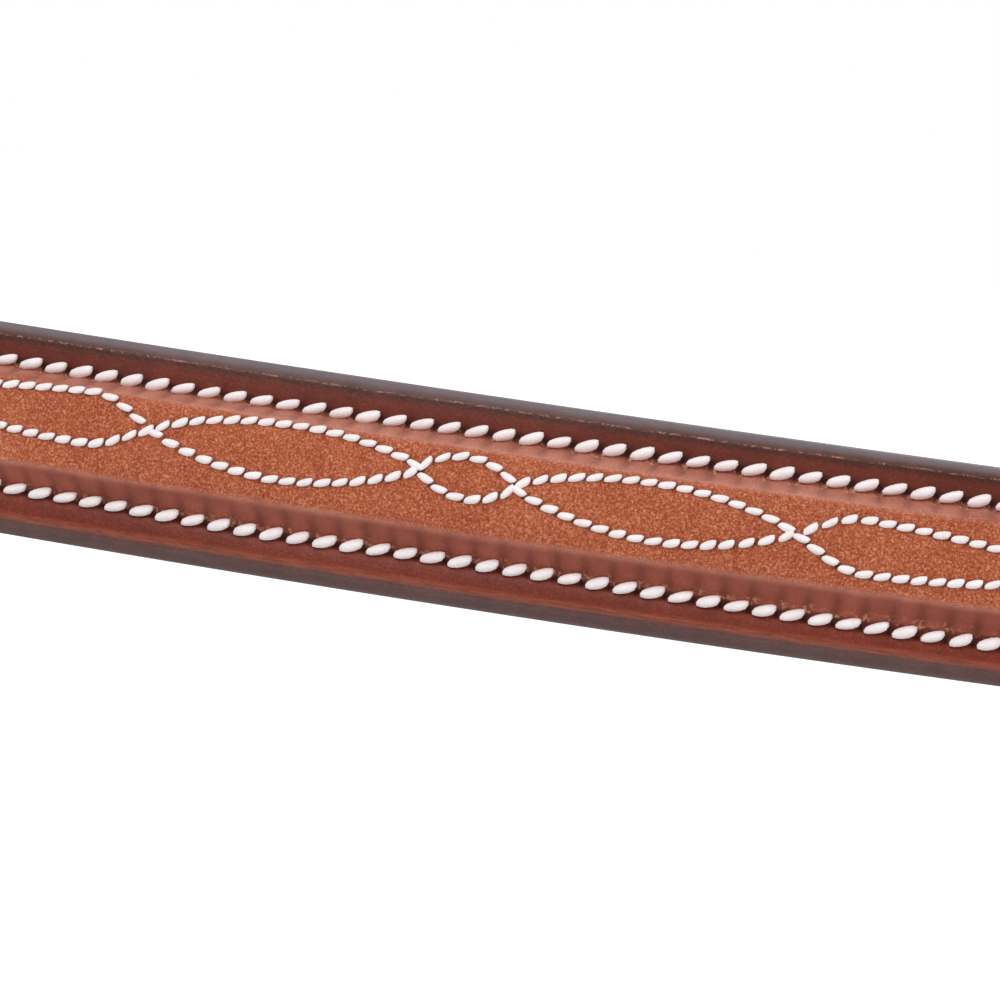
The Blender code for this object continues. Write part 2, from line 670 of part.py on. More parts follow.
def add_bit_end(name, frame):
    """The bit billet, its two keepers and the hook stud that its end buttons on to."""
    plane = Plane((0, 0, 0), (1, 0, 0), (0, 0, 1))
    outer = CHAPE_RADIUS - LAYER
    inner = outer - LAYER
    level = CHEEK_BUCKLE_DROP
    loop = 2 * BIT_LOOP_RADIUS + STRAP_THICKNESS + BIT_SEAT_FLAT
    bend = BIT_LOOP_RADIUS + STRAP_THICKNESS / 2
    opening = loop - LAYER
    turn_level = level - BIT_LOOP_DROP + bend + STRAP_THICKNESS / 2
    closing = jog_length(opening, BIT_JOG_RADIUS)
    route = Route(inner, level - BIT_RETURN_DROP, -90).point_start()
    route.run(route.point.y - turn_level - closing).jog(-opening, BIT_JOG_RADIUS)
    route.bend(bend, 90).run(BIT_SEAT_FLAT).bend(bend, 90)
    route.run(level - BIT_BILLET_DROP - route.point.y)
    mesh = strap(name + "_bit_billet", route, plane, pointed_width(CHEEK_WIDTH, at_start=True))
    billet = add_part(name + "_bit_billet", mesh, strap_leather, frame)
    stud_level = level - STUD_DROP
    face = outer + STRAP_THICKNESS / 2
    recess = STUD_BASE_THICKNESS + SEAT
    shank = STUD_RADIUS + STUD_PLAY
    base = STUD_BASE_RADIUS + STUD_PLAY
    hole = ((outer - LAYER / 2, 0, stud_level), through_side(), shank, shank)
    let_in = ((face + (CUTTER_OVERRUN - recess) / 2, 0, stud_level), through_side(), base, base)
    through = holes_mesh(name + "_stud_hole", [hole], LAYER + STRAP_THICKNESS + CUTTER_OVERRUN)
    seat = holes_mesh(name + "_stud_seat", [let_in], CUTTER_OVERRUN + recess)
    cut(billet, add_cutter(name + "_stud_hole", through, frame))
    cut(billet, add_cutter(name + "_stud_seat", seat, frame))
    add_stud(name, frame, face - recess, inner, stud_level)
    front = CHAPE_RADIUS + STRAP_THICKNESS / 2
    back = inner - STRAP_THICKNESS / 2
    for kind, drop, high in (("upper", BIT_KEEPER_UPPER_DROP, front), ("lower", BIT_KEEPER_LOWER_DROP, face)):
        place = Matrix.Translation((0, 0, level - drop - KEEPER_WIDTH / 2))
        mesh = keeper_mesh(CHEEK_WIDTH, back, high)
        add_part(name + "_bit_keeper_" + kind, mesh, strap_leather, frame @ place)


def add_stud(name, frame, floor, inner, level):
    """A hook stud: its base is let into the billet, its hook holds the billet's end."""
    head = inner - STRAP_THICKNESS / 2 - STUD_PLAY - STUD_RADIUS
    start = floor + SEAT + STUD_BASE_THICKNESS / 2
    corner = Vector((head, 0, level))
    down = corner - Vector((0, 0, STUD_HOOK_DROP))
    points = [Vector((start, 0, level))]
    points += rounded_corner(corner, points[0], down, STUD_RADIUS)
    points.append(down)
    mesh = tube(name + "_hook_stud", points, STUD_RADIUS, taper_share=STUD_TIP_SHARE)
    stud = add_part(name + "_hook_stud", mesh, steel, frame)
    shape = bmesh.new()
    place = Matrix.Translation((start, 0, level)) @ Matrix.Rotation(pi / 2, 4, 'Y')
    bmesh.ops.create_cone(shape, cap_ends=True, segments=2 * HOLE_SIDES, radius1=STUD_BASE_RADIUS,
                          radius2=STUD_BASE_RADIUS, depth=STUD_BASE_THICKNESS, matrix=place)
    base = bpy.data.meshes.new(name + "_stud_base")
    shape.to_mesh(base)
    shape.free()
    union = stud.modifiers.new("base", 'BOOLEAN')
    union.operation = 'UNION'
    union.solver = 'EXACT'
    union.object = add_cutter(name + "_stud_base", base, frame)


def add_throatlatch():
    """The throatlatch: a hanging loop with a chape and a buckle at each end."""
    plane = Plane((0, THROAT_Y, 0), (1, 0, 0), (0, 0, 1))
    out = SIDE_BAR_X + CHAPE_RADIUS
    route = Route(0, -THROAT_RUN_DROP - out, 0)
    route.bend(out, 90, ARCH_STEPS + 2).run(THROAT_RUN_DROP - THROAT_BUCKLE_DROP)
    chape(route, 1)
    mesh = strap("throatlatch", route, plane, even_width(NARROW_WIDTH), open_start=True)
    made = add_part("throatlatch", mesh, strap_leather)
    mirror_halves(made)
    for side, name in ((-1, "near_throat"), (1, "off_throat")):
        frame = side_frame(side, THROAT_Y, THROAT_BUCKLE_DROP, SIDE_BAR_X)
        tongue_slot(made, name, frame)
        add_buckle(name, NARROW_WIDTH, frame)
        add_buckle_keepers(name, NARROW_WIDTH, frame)


def add_hanger():
    """The noseband hanger: the long strap over the poll, and the short one it buckles to."""
    plane = Plane((0, CHEEK_Y, 0), (1, 0, 0), (0, 0, 1))
    fold_level = SLOT_FOLD_RADIUS - SLOT_DROP
    edge = SLOT_TOP_WALL + SLOT_HALF_HEIGHT - SLOT_FOLD_RADIUS + HANGER_EDGE_CLEAR
    closing = 2 * SLOT_FOLD_RADIUS - LAYER
    jog = jog_length(closing, HANGER_JOG_RADIUS)

    def slot_fold(route):
        route.run(HANGER_TAIL).jog(-closing, HANGER_JOG_RADIUS).run(edge)
        return route.bend(SLOT_FOLD_RADIUS, 180)

    top = fold_level + edge + jog + HANGER_TAIL
    route = slot_fold(Route(HANGER_LOW_X - LAYER, top, -90))
    step = HANGER_STEP_IN + LAYER
    route.run(-HANGER_STEP_DROP - jog_length(step, HANGER_STEP_RADIUS) - fold_level)
    route.jog(-step, HANGER_STEP_RADIUS).run(HANGER_STEP_DROP - ARCH_DROP)
    middle = ARCH_RADIUS - SEAT - STRAP_THICKNESS / 2
    route.bend(middle, 90, ARCH_STEPS).run(2 * POLL_FLAT_HALF, 2).bend(middle, 90, ARCH_STEPS)
    route.run(HANGER_STEP_DROP - ARCH_DROP).jog(HANGER_STEP_IN, HANGER_STEP_RADIUS)
    route.point_end(HANGER_BUCKLE_DROP + BILLET_TAIL + route.point.y)
    mesh = strap("noseband_hanger", route, plane, pointed_width(NARROW_WIDTH))
    hanger = add_part("noseband_hanger", mesh, strap_leather)
    holes = billet_holes(-1, HANGER_BILLET_X, CHEEK_Y, HANGER_BUCKLE_DROP, 1, 2)
    depth = STRAP_THICKNESS + CUTTER_OVERRUN
    cut(hanger, add_cutter("hanger_holes", holes_mesh("hanger_holes", holes, depth)))

    frame = side_frame(-1, CHEEK_Y, HANGER_BUCKLE_DROP, HANGER_BAR_X)
    local = Plane((0, 0, 0), (1, 0, 0), (0, 0, 1))
    out = CHAPE_RADIUS - LAYER
    top = fold_level + edge + jog + HANGER_TAIL + HANGER_BUCKLE_DROP
    short = slot_fold(Route(out, top, -90))
    chape(short.run(-short.point.y), 1)
    mesh = strap("hanger_short_strap", short, local, even_width(NARROW_WIDTH))
    tongue_slot(add_part("hanger_short_strap", mesh, strap_leather, frame), "hanger", frame)
    add_buckle("hanger", NARROW_WIDTH, frame)
    add_buckle_keepers("hanger", NARROW_WIDTH, frame)


def band_route(front, half_span, front_radius, corner_radius, corner_steps):
    """Half a band seen from above: from the middle of its front, round the corner to its side."""
    angle = degrees(asin((half_span - corner_radius) / (front_radius - corner_radius)))
    route = Route(0, front, 0)
    route.bend(front_radius, angle, FRONT_STEPS)
    return route.bend(corner_radius, 90 - angle, corner_steps)


def eased(share):
    """From 0 to 1 with a smooth start and end."""
    share = min(1.0, max(0.0, share))
    return share * share * (3 - 2 * share)


def swell(distance, half_length):
    """1 along the raised part, running out smoothly to 0 at its end."""
    return eased((half_length - distance) / (half_length * TAPER_SHARE))


def crowned(share):
    """The raised part's rounded profile, 1 at its middle and 0 at its foot."""
    return (1 - abs(share) ** CROWN_POWER) ** (1 / CROWN_POWER)


def face_ring(plane, station, width, raise_half, raise_height, half_length):
    """The top leather's section: a flange each side of the raised middle, of one thickness."""
    fullness = swell(station[2], half_length)
    half = raise_half * (NARROWEST_SHARE + (1 - NARROWEST_SHARE) * fullness)
    height = raise_height * fullness
    top = FACE_THICKNESS
    edge = width / 2
    outer = [(-edge, 0), (-edge, top - EDGE_CHAMFER), (-edge + EDGE_CHAMFER, top)]
    outer += [(share * half, top + height * crowned(share)) for share in RAISE_SHARES]
    outer += [(edge - EDGE_CHAMFER, top), (edge, top - EDGE_CHAMFER), (edge, 0)]
    inner = [(share * (half - FACE_THICKNESS), height * crowned(share)) for share in reversed(RAISE_SHARES)]
    return [plane.place(station, across, FACE_LIFT + out) for across, out in outer + inner]


def core_ring(plane, station, raise_half, raise_height, half_length):
    """The padding's section: flat below, crowned above, clear of the top leather all round."""
    fullness = swell(station[2], half_length)
    half = raise_half * (NARROWEST_SHARE + (1 - NARROWEST_SHARE) * fullness) - FACE_THICKNESS - SEAT
    height = raise_height * fullness - SEAT
    foot = height * CORE_FOOT_SHARE
    ring = [(share * half, foot + (height - foot) * crowned(share)) for share in RAISE_SHARES]
    ring += [(half, 0), (-half, 0)]
    return [plane.place(station, across, FACE_LIFT + out) for across, out in ring]


def sized_stations(route, marks, end):
    """A route's stations up to a length, with extra ones at the marks that fall well between them."""
    kept = [station for station in route.stations if station[2] < end - SEAT]
    for mark in marks:
        if all(abs(mark - station[2]) > 2 * SEAT for station in kept):
            kept.append(station_at(route, mark))
    kept.append(station_at(route, end))
    return sorted(kept, key=lambda station: station[2])


def station_at(route, length):
    """The place and heading at a length along a route."""
    for before, after in zip(route.stations, route.stations[1:]):
        if before[2] <= length <= after[2]:
            share = (length - before[2]) / (after[2] - before[2])
            return (before[0].lerp(after[0], share), before[1] + (after[1] - before[1]) * share, length)
    raise ValueError("the route ends before this length")


def add_raised_band(name, route, plane, width, raise_half, raise_height, raised_length, face_length):
    """The padding and the top leather of a raised band, on the outside of its backing."""
    taper = raised_length * TAPER_SHARE
    marks = [raised_length - taper * (1 - step / TAPER_STEPS) for step in range(TAPER_STEPS + 1)]
    rings = []
    narrow = pointed_width(width)
    for station in sized_stations(route, marks + [face_length - POINT_LENGTH], face_length):
        drawn = max(narrow(station[2], face_length), width * FACE_END_SHARE)
        rings.append(face_ring(plane, station, drawn, raise_half, raise_height, raised_length))
    mesh = swept_mesh(name + "_face", rings, open_start=True)
    mirror_halves(add_part(name + "_face", mesh, raised_leather))

    core_end = raised_length - taper * CORE_SHORT_SHARE
    core = sized_stations(route, [mark for mark in marks if mark < core_end - SEAT], core_end)
    rings = [core_ring(plane, station, raise_half, raise_height, raised_length) for station in core]
    mesh = swept_mesh(name + "_core", rings, open_start=True)
    mirror_halves(add_part(name + "_core", mesh, lining_leather))


def add_browband():
    """The browband: its backing turns back at each end into the loop that the side straps pass."""
    outer = CROWN_HALF_SPAN + STRAP_THICKNESS + SEAT + LINING_THICKNESS / 2
    inner = CROWN_HALF_SPAN - LAYER - SEAT - LINING_THICKNESS / 2
    front = CHEEK_Y - BROWBAND_REACH
    route = band_route(front, outer, BROWBAND_FRONT_RADIUS, BROWBAND_TEMPLE_RADIUS, TEMPLE_STEPS)
    upright = route.length
    plane = Plane((0, 0, -BROWBAND_DROP), (1, 0, 0), (0, 1, 0),
                  lambda length: radians(BROWBAND_LEAN) * eased((upright - length) / BROWBAND_LEAN_FADE))
    rear = CROWN_Y + CROWN_WIDTH / 2 + SEAT
    route.run(rear - route.point.y, 2)
    fold = (outer - inner) / 2
    route.bend(fold, 180)
    route.run(CROWN_WIDTH + 2 * SEAT + LOOP_PLAY)
    closing = outer - inner - LINING_THICKNESS - SEAT
    route.jog(closing, LOOP_JOG_RADIUS)
    route.run(LOOP_TAIL)
    mesh = lining("browband_backing", route, plane, even_width(BROWBAND_WIDTH))
    mirror_halves(add_part("browband_backing", mesh, lining_leather))
    add_raised_band("browband", route, plane, BROWBAND_WIDTH, BROWBAND_RAISE_HALF,
                    BROWBAND_RAISE_HEIGHT, BROWBAND_RAISED_HALF_LENGTH, BROWBAND_FACE_HALF_LENGTH)


def add_noseband():
    """The cavesson: a raised nosepiece on its backing, and the two jaw straps that buckle behind."""
    plane = Plane((0, 0, -NOSEBAND_DROP), (1, 0, 0), (0, 1, 0))
    side = NOSEBAND_INNER_X + LINING_THICKNESS / 2
    front = CHEEK_Y - NOSEBAND_REACH
    route = band_route(front, side, NOSEBAND_FRONT_RADIUS, NOSEBAND_CORNER_RADIUS, CORNER_STEPS)
    corner_length = route.length
    straight = CHEEK_Y + NOSEBAND_BEHIND_HANGER - route.point.y
    route.run(straight, STRAIGHT_STEPS)

    def width_at(done, total):
        share = min(1.0, max(0.0, (done - corner_length) / (straight * NOSEBAND_NARROWING_SHARE)))
        return NOSEBAND_WIDTH + (NOSEBAND_END_WIDTH - NOSEBAND_WIDTH) * share

    mesh = lining("noseband_backing", route, plane, width_at)
    backing = add_part("noseband_backing", mesh, lining_leather)
    mirror_halves(backing)
    sides = (LINING_THICKNESS + CUTTER_OVERRUN, NARROW_WIDTH + 2 * SLOT_SIDE_PLAY, 2 * SLOT_HALF_HEIGHT)
    slots = [((hand * side, CHEEK_Y, -SLOT_DROP), sides) for hand in (-1, 1)]
    cut(backing, add_cutter("hanger_slots", boxes_mesh("hanger_slots", slots)))
    add_raised_band("noseband", route, plane, NOSEBAND_WIDTH, NOSEBAND_RAISE_HALF,
                    NOSEBAND_RAISE_HEIGHT, NOSEBAND_RAISED_HALF_LENGTH, NOSEBAND_FACE_HALF_LENGTH)
    add_jaw_straps(plane)


def add_jaw_straps(plane):
    """The off strap is the billet, the near strap carries the buckle."""
    start = CHEEK_Y + NOSEBAND_BEHIND_HANGER - JAW_OVERLAP
    billet_back = JAW_BACK_Y + LAYER
    route = Route(JAW_X, start, 90)
    route.run(billet_back - JAW_CORNER_RADIUS - start, 2).bend(JAW_CORNER_RADIUS, 90, CORNER_STEPS)
    route.point_end(route.point.x - JAW_BUCKLE_OFFSET + BILLET_TAIL)
    mesh = strap("off_jaw_strap", route, plane, pointed_width(JAW_WIDTH))
    billet = add_part("off_jaw_strap", mesh, strap_leather)
    turn = Matrix.Rotation(pi / 2, 4, 'X') @ Matrix.Rotation(pi / 2, 4, 'Z')
    holes = [((JAW_BUCKLE_OFFSET + HOLE_RISE + HOLE_PITCH * step, billet_back, -NOSEBAND_DROP), turn,
              HOLE_HALF_WIDTH, HOLE_HALF_LENGTH) for step in range(-1, 2)]
    depth = STRAP_THICKNESS + CUTTER_OVERRUN
    cut(billet, add_cutter("jaw_holes", holes_mesh("jaw_holes", holes, depth)))

    near = Route(-JAW_X, start, 90)
    near.run(JAW_BACK_Y - JAW_CORNER_RADIUS - start, 2).bend(JAW_CORNER_RADIUS, -90, CORNER_STEPS)
    near.run(JAW_BUCKLE_OFFSET - near.point.x)
    chape(near, -1)
    made = add_part("near_jaw_strap", strap("near_jaw_strap", near, plane, even_width(JAW_WIDTH)),
                    strap_leather)
    frame = Matrix(((0, 0, 1, JAW_BUCKLE_OFFSET), (1, 0, 0, JAW_BACK_Y - CHAPE_RADIUS),
                    (0, 1, 0, -NOSEBAND_DROP), (0, 0, 0, 1)))
    tongue_slot(made, "jaw", frame)
    add_buckle("jaw", JAW_WIDTH, frame)
    add_buckle_keepers("jaw", JAW_WIDTH, frame)


def clear_scene():
    """Start from an empty scene with the bridle's two collections."""
    for old in list(bpy.context.scene.objects):
        bpy.data.objects.remove(old)
    for name in ("hunter_bridle", "bridle_cutters"):
        bpy.context.scene.collection.children.link(bpy.data.collections.new(name))


def main():
    clear_scene()
    add_crown()
    add_browband()
    add_cheekpieces()
    add_throatlatch()
    add_hanger()
    add_noseband()
    bpy.context.view_layer.update()


main()
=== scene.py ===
"""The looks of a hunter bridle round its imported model: its leather, its stitching and its buckles.

Metres, +Z up, the forehead towards -Y and the near side towards -X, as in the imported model.
"""

import json
from collections import namedtuple
from math import acos, asin, ceil, cos, degrees, dist, exp, pi, radians, sin, sqrt
from random import Random

import bmesh
import bpy
from mathutils import Matrix, Vector
from mathutils.kdtree import KDTree


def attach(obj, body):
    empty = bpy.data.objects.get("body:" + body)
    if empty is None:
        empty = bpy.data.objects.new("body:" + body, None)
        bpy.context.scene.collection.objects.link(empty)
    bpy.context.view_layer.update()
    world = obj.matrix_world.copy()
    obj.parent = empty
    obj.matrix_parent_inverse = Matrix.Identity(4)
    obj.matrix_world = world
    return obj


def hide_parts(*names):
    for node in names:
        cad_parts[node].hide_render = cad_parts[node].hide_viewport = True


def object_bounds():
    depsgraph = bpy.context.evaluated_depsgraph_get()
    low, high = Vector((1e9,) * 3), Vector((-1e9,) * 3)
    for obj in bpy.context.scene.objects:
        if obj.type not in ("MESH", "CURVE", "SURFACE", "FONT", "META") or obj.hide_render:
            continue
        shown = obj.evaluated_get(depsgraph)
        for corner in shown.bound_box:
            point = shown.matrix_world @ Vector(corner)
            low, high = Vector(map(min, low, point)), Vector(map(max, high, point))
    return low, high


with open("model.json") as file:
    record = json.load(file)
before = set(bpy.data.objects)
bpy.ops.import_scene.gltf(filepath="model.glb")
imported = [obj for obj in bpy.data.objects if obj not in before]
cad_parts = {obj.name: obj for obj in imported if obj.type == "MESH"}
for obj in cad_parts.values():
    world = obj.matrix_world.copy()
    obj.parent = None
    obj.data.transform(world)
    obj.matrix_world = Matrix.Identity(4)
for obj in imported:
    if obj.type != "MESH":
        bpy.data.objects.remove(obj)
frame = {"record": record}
packed_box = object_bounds()

BODY_OF = {node: body for body, nodes in frame["record"]["behaviour"]["bodies"].items() for node in nodes}

MM = 0.001


def in_mm(*values):
    """Values given in millimetres, in metres."""
    return [value * MM for value in values]


# Leather thicknesses and the gap between pieces
SEAT = 0.3 * MM
STRAP_THICKNESS = 2.5 * MM
LINING_THICKNESS = 2.0 * MM
FACE_THICKNESS = 1.3 * MM
KEEPER_THICKNESS = 1.5 * MM
LAYER = STRAP_THICKNESS + SEAT

# Strap widths
CHEEK_WIDTH = 16.0 * MM
NARROW_WIDTH = 12.7 * MM
KEEPER_WIDTH = 8.0 * MM
JAW_WIDTH = 16.0 * MM

# Crown
CROWN_HALF_SPAN = 95.0 * MM
POLL_FLAT_HALF = 18.0 * MM
POLL_SWELL = 3.5 * MM
SPLIT_GAP = 3.8 * MM
SPLIT_DROP = 50.0 * MM
SPLIT_HOLE_RADIUS = 2.6 * MM
CROWN_WIDTH = CHEEK_WIDTH + NARROW_WIDTH + SPLIT_GAP
CROWN_Y = (CROWN_WIDTH - CHEEK_WIDTH) / 2
THROAT_Y = CROWN_Y + (CROWN_WIDTH - NARROW_WIDTH) / 2
SPLIT_Y = CROWN_Y - CROWN_WIDTH / 2 + CHEEK_WIDTH + SPLIT_GAP / 2
ARCH_RADIUS = CROWN_HALF_SPAN - POLL_FLAT_HALF
ARCH_DROP = ARCH_RADIUS - LAYER

# Heights of the heel bars, of the throatlatch's bend and of the two bands, below the poll
CHEEK_BUCKLE_DROP = 215.0 * MM
THROAT_BUCKLE_DROP = 150.0 * MM
HANGER_BUCKLE_DROP = 258.0 * MM
THROAT_RUN_DROP = 350.0 * MM
BROWBAND_DROP = 97.0 * MM
NOSEBAND_DROP = 340.0 * MM

# Buckles and their tongues
BAR_RADIUS = 1.4 * MM
TONGUE_RADIUS = 1.1 * MM
TONGUE_TIP_REACH = 2.4 * MM
TONGUE_WRAP_START = -50.0
TONGUE_WRAP_TURN = 29.0
TONGUE_WRAP_STEPS = 8
TONGUE_SET_DOWN = 2.6 * TONGUE_RADIUS
TONGUE_TIP_SHARE = 0.55
TONGUE_FLATNESS = 0.86
TONGUE_RISE_SHARES = (0.35, 0.7, 1.0)
TONGUE_RISE_POWER = 1.2
FRAME_LENGTH = 19.0 * MM
FRAME_PLAY = 0.4 * MM
FRAME_CORNER = 2.2 * MM
TONGUE_SLOT_PLAY = 0.5 * MM
CHAPE_RADIUS = BAR_RADIUS + SEAT + STRAP_THICKNESS / 2
BILLET_OUT = BAR_RADIUS + 2 * SEAT + STRAP_THICKNESS * 1.5
FAR_BAR_OUT = BILLET_OUT + STRAP_THICKNESS / 2 + SEAT + BAR_RADIUS
SIDE_BAR_X = CROWN_HALF_SPAN + STRAP_THICKNESS / 2 - BILLET_OUT
CHAPE_JOG_RADIUS = 5.0 * MM
CHAPE_TAIL = 30.0 * MM

# Billets, holes and points
BILLET_TAIL = 46.0 * MM
HOLE_HALF_WIDTH = 1.6 * MM
HOLE_HALF_LENGTH = 3.3 * MM
HOLE_RISE = 4.2 * MM
HOLE_PITCH = 17.0 * MM
POINT_LENGTH = 9.0 * MM
POINT_NOSE_SHARE = 0.3
FIXED_KEEPER_SET = 9.0 * MM
RUNNER_SET = 23.0 * MM

# Bit ends
BIT_BILLET_DROP = 352.0 * MM
CHEEK_END_DROP = 408.0 * MM
BIT_LOOP_RADIUS = 4.5 * MM
BIT_SEAT_FLAT = 5.0 * MM
BIT_LOOP_DROP = 450.0 * MM
BIT_RETURN_DROP = 366.0 * MM
BIT_JOG_RADIUS = 12.0 * MM
BIT_KEEPER_UPPER_DROP = 375.0 * MM
BIT_KEEPER_LOWER_DROP = 411.0 * MM
STUD_DROP = 396.0 * MM
STUD_RADIUS = 1.5 * MM
STUD_BASE_RADIUS = 3.6 * MM
STUD_BASE_THICKNESS = 0.8 * MM
STUD_HOOK_DROP = 4.0 * MM
STUD_BEND_RADIUS = 1.6 * MM
STUD_TIP_SHARE = 0.7
STUD_BASE_BEVEL = 0.25 * MM
STUD_BEVEL_STEPS = 3
STUD_PLAY = 0.4 * MM

# Noseband hanger
HANGER_STEP_DROP = 122.0 * MM
HANGER_STEP_IN = 17.0 * MM
HANGER_STEP_RADIUS = 60.0 * MM
HANGER_TAIL = 22.0 * MM
HANGER_EDGE_CLEAR = 2.0 * MM
HANGER_JOG_RADIUS = 6.0 * MM
HANGER_BILLET_X = CROWN_HALF_SPAN - SEAT - STRAP_THICKNESS / 2 - HANGER_STEP_IN
HANGER_LOW_X = HANGER_BILLET_X - LAYER
HANGER_BAR_X = HANGER_BILLET_X - BILLET_OUT

# Noseband slots and jaw straps
NOSEBAND_END_WIDTH = 19.0 * MM
NOSEBAND_BEHIND_HANGER = 38.0 * MM
NOSEBAND_NARROWING_SHARE = 0.4
SLOT_SIDE_PLAY = 1.2 * MM
SLOT_EDGE_PLAY = 1.25 * MM
SLOT_TOP_WALL = 4.5 * MM
SLOT_FOLD_RADIUS = (LINING_THICKNESS + 2 * SEAT + STRAP_THICKNESS) / 2
SLOT_HALF_HEIGHT = STRAP_THICKNESS / 2 + SLOT_EDGE_PLAY
SLOT_DROP = NOSEBAND_DROP - NOSEBAND_END_WIDTH / 2 + SLOT_TOP_WALL + SLOT_HALF_HEIGHT
NOSEBAND_INNER_X = HANGER_LOW_X - STRAP_THICKNESS / 2 - SEAT - LINING_THICKNESS
JAW_OVERLAP = 26.0 * MM
JAW_CORNER_RADIUS = 34.0 * MM
JAW_BACK_Y = 107.5 * MM
JAW_BUCKLE_OFFSET = 12.0 * MM
JAW_X = NOSEBAND_INNER_X - SEAT - STRAP_THICKNESS / 2

# A raised band's size. Across, from its middle, lie half its width, the rim where its edge starts to round,
# the stitch row, and the padding's foot and shoulder; the padding rises by the rise. Along, the padding
# runs out at the raised length and the top leather ends at the end. The pitch is its edge stitches'.
BandSize = namedtuple("BandSize", "half rim row foot shoulder rise raised end pitch")

# How leather and padding lie in the raised bands, and their round edges
BAND_BASE = LINING_THICKNESS / 2 + SEAT
BAND_TOP = BAND_BASE + FACE_THICKNESS
CORE_PLAY = 0.2 * MM
CORE_LEAST = 0.12 * MM
EDGE_ROUND_OUT = 0.8 * MM
EDGE_LAP = 0.04 * MM
LINING_EDGE_FLAT = 0.25 * MM
LINING_FACE_TONE = 0.4
LINING_ROUND_TONE = 0.6
RUN_OUT_SHARE = 0.16
RUN_OUT_WIDTH = 0.36
CORE_RUN_OUT = 0.4
SHOULDER_ROUNDING = 0.12
CROWN_FALL = 0.13
BAND_ZONES = (0.0, 0.3, 0.45, 0.5, 0.8, 1.0)
FLANGE_ZONE = 0.62
ROW_ZONE = 0.5
FACE_END_WIDTH = 0.85
END_ROW_INSET = 5.0 * MM
END_ROW_CLEAR = 1.0 * MM

# What the tight thread does to the raised leather: a groove, awl holes in it, puckers, and the waves' wells.
# Besides its depth, each has a share of painted shade that darkens it.
GROOVE_DEPTH = 0.16 * MM
GROOVE_HALF = 0.55 * MM
GROOVE_OUTER_HALF = 0.6 * MM
GROOVE_END_SET = 4.0 * MM
FOOT_CLEAR = 0.1 * MM
# Painted shade along the groove
GROOVE_SHADE = 0.12
AWL_DEPTH = 0.30 * MM
AWL_REACH_ALONG = 0.42 * MM
AWL_REACH_ACROSS = 0.40 * MM
PUCKER_DEPTH = 0.34 * MM
# Painted shade in the puckers' dips
PUCKER_SHADE = 0.34
PUCKER_NARROWNESS = 3
PUCKER_FULLNESS = 0.6
WELL_DEPTH = 0.16 * MM
WELL_REACH = 0.36 * MM
# Painted shade round the waves' wells
WELL_SHADE = 0.8

# The crossing waves: how blunt their middle and their lenses are, and how a drop rises and falls
MIDDLE_BLUNT = 0.7
LENS_BLUNT = 0.72
DROP_PEAK = 0.20
DROP_RISE = 1.3
DROP_FULLNESS = 0.25
WAVE_STEPS = 2400

# How the stitches beside a covered one close up on it: how many do, and by which shares of the way
CLOSE_UP_REACH = 3
CLOSE_UP_SHARE = 0.4
CLOSE_UP_FALL = 0.1

# Browband: its line seen from above, its lean, its loops and its size
BROWBAND_FRONT = 104.0 * MM
BROWBAND_FRONT_RADIUS = 300.0 * MM
BROWBAND_CORNER_RADIUS = 45.0 * MM
BROWBAND_LEAN = 16.0
BROWBAND_LEAN_RUN = 64.0 * MM
LOOP_PLAY = 1.0 * MM
LOOP_JOG_RADIUS = 8.0 * MM
LOOP_LAP = 13.0 * MM
LOOP_SEWN = (1.5 * MM, 11.5 * MM)
BROWBAND_SIZE = BandSize(half=9.5 * MM, rim=8.1 * MM, row=5.95 * MM, foot=5.45 * MM, shoulder=3.75 * MM,
                         rise=3.0 * MM, raised=104.0 * MM, end=132.0 * MM, pitch=2.413 * MM)

# Its stitching. A row has its side, 1 for the high one, its phase and its pitch; its drift is the lengths
# and how far it wanders at them. A drop between the waves has its end, its half width and its kind.
BROWBAND_ROWS = ((1, -0.40 * MM, 2.437 * MM), (-1, 0.22 * MM, 2.396 * MM))
BROWBAND_DRIFT = {1: (in_mm(-80.0, -42.0, -28.0, -8.0, 4.0, 15.0),
                      in_mm(0.0, -0.22, -0.32, -0.30, -0.1, 0.0)),
                  -1: (in_mm(-80.0, -41.0, -30.0, -18.0, -4.0, 8.0, 20.0, 31.0, 42.0, 80.0),
                       in_mm(0.0, -0.26, -0.22, 0.04, -0.14, -0.12, 0.08, 0.28, 0.42, 0.0))}
BROWBAND_FANCY_PITCH = 1.54 * MM
BROWBAND_DROPS = ((4.2 * MM, 1.85 * MM, "middle"), (28.1 * MM, 2.52 * MM, "lens"),
                  (58.0 * MM, 2.35 * MM, "drop"), (81.0 * MM, 2.3 * MM, "lens"),
                  (94.0 * MM, 1.5 * MM, "lens"))
BROWBAND_WANDER = (in_mm(-38.0, -33.3, -28.0, -24.0, -17.0, -4.3, 4.2, 15.0, 28.1, 35.0, 45.0, 58.0),
                   in_mm(1.15, 1.25, 0.95, 0.92, 0.82, 1.2, 0.87, 0.48, 0.33, 0.0, -0.15, 0.0))

# Noseband: the same
NOSEBAND_FRONT = 92.0 * MM
NOSEBAND_FRONT_RADIUS = 100.0 * MM
NOSEBAND_CORNER_RADIUS = 40.0 * MM
NOSEBAND_SIZE = BandSize(half=12.7 * MM, rim=11.2 * MM, row=8.25 * MM, foot=7.65 * MM, shoulder=5.4 * MM,
                         rise=3.4 * MM, raised=90.0 * MM, end=116.0 * MM, pitch=2.5 * MM)
NOSEBAND_ROWS = ((1, 0.0, 2.5 * MM), (-1, 0.5 * MM, 2.5 * MM))
NOSEBAND_DRIFT = {1: (in_mm(0.0), in_mm(0.0)), -1: (in_mm(0.0), in_mm(0.0))}
NOSEBAND_FANCY_PITCH = 1.6 * MM
NOSEBAND_DROPS = ((6.0 * MM, 2.6 * MM, "middle"), (34.0 * MM, 3.6 * MM, "lens"),
                  (58.0 * MM, 3.3 * MM, "lens"), (80.0 * MM, 3.0 * MM, "drop"))
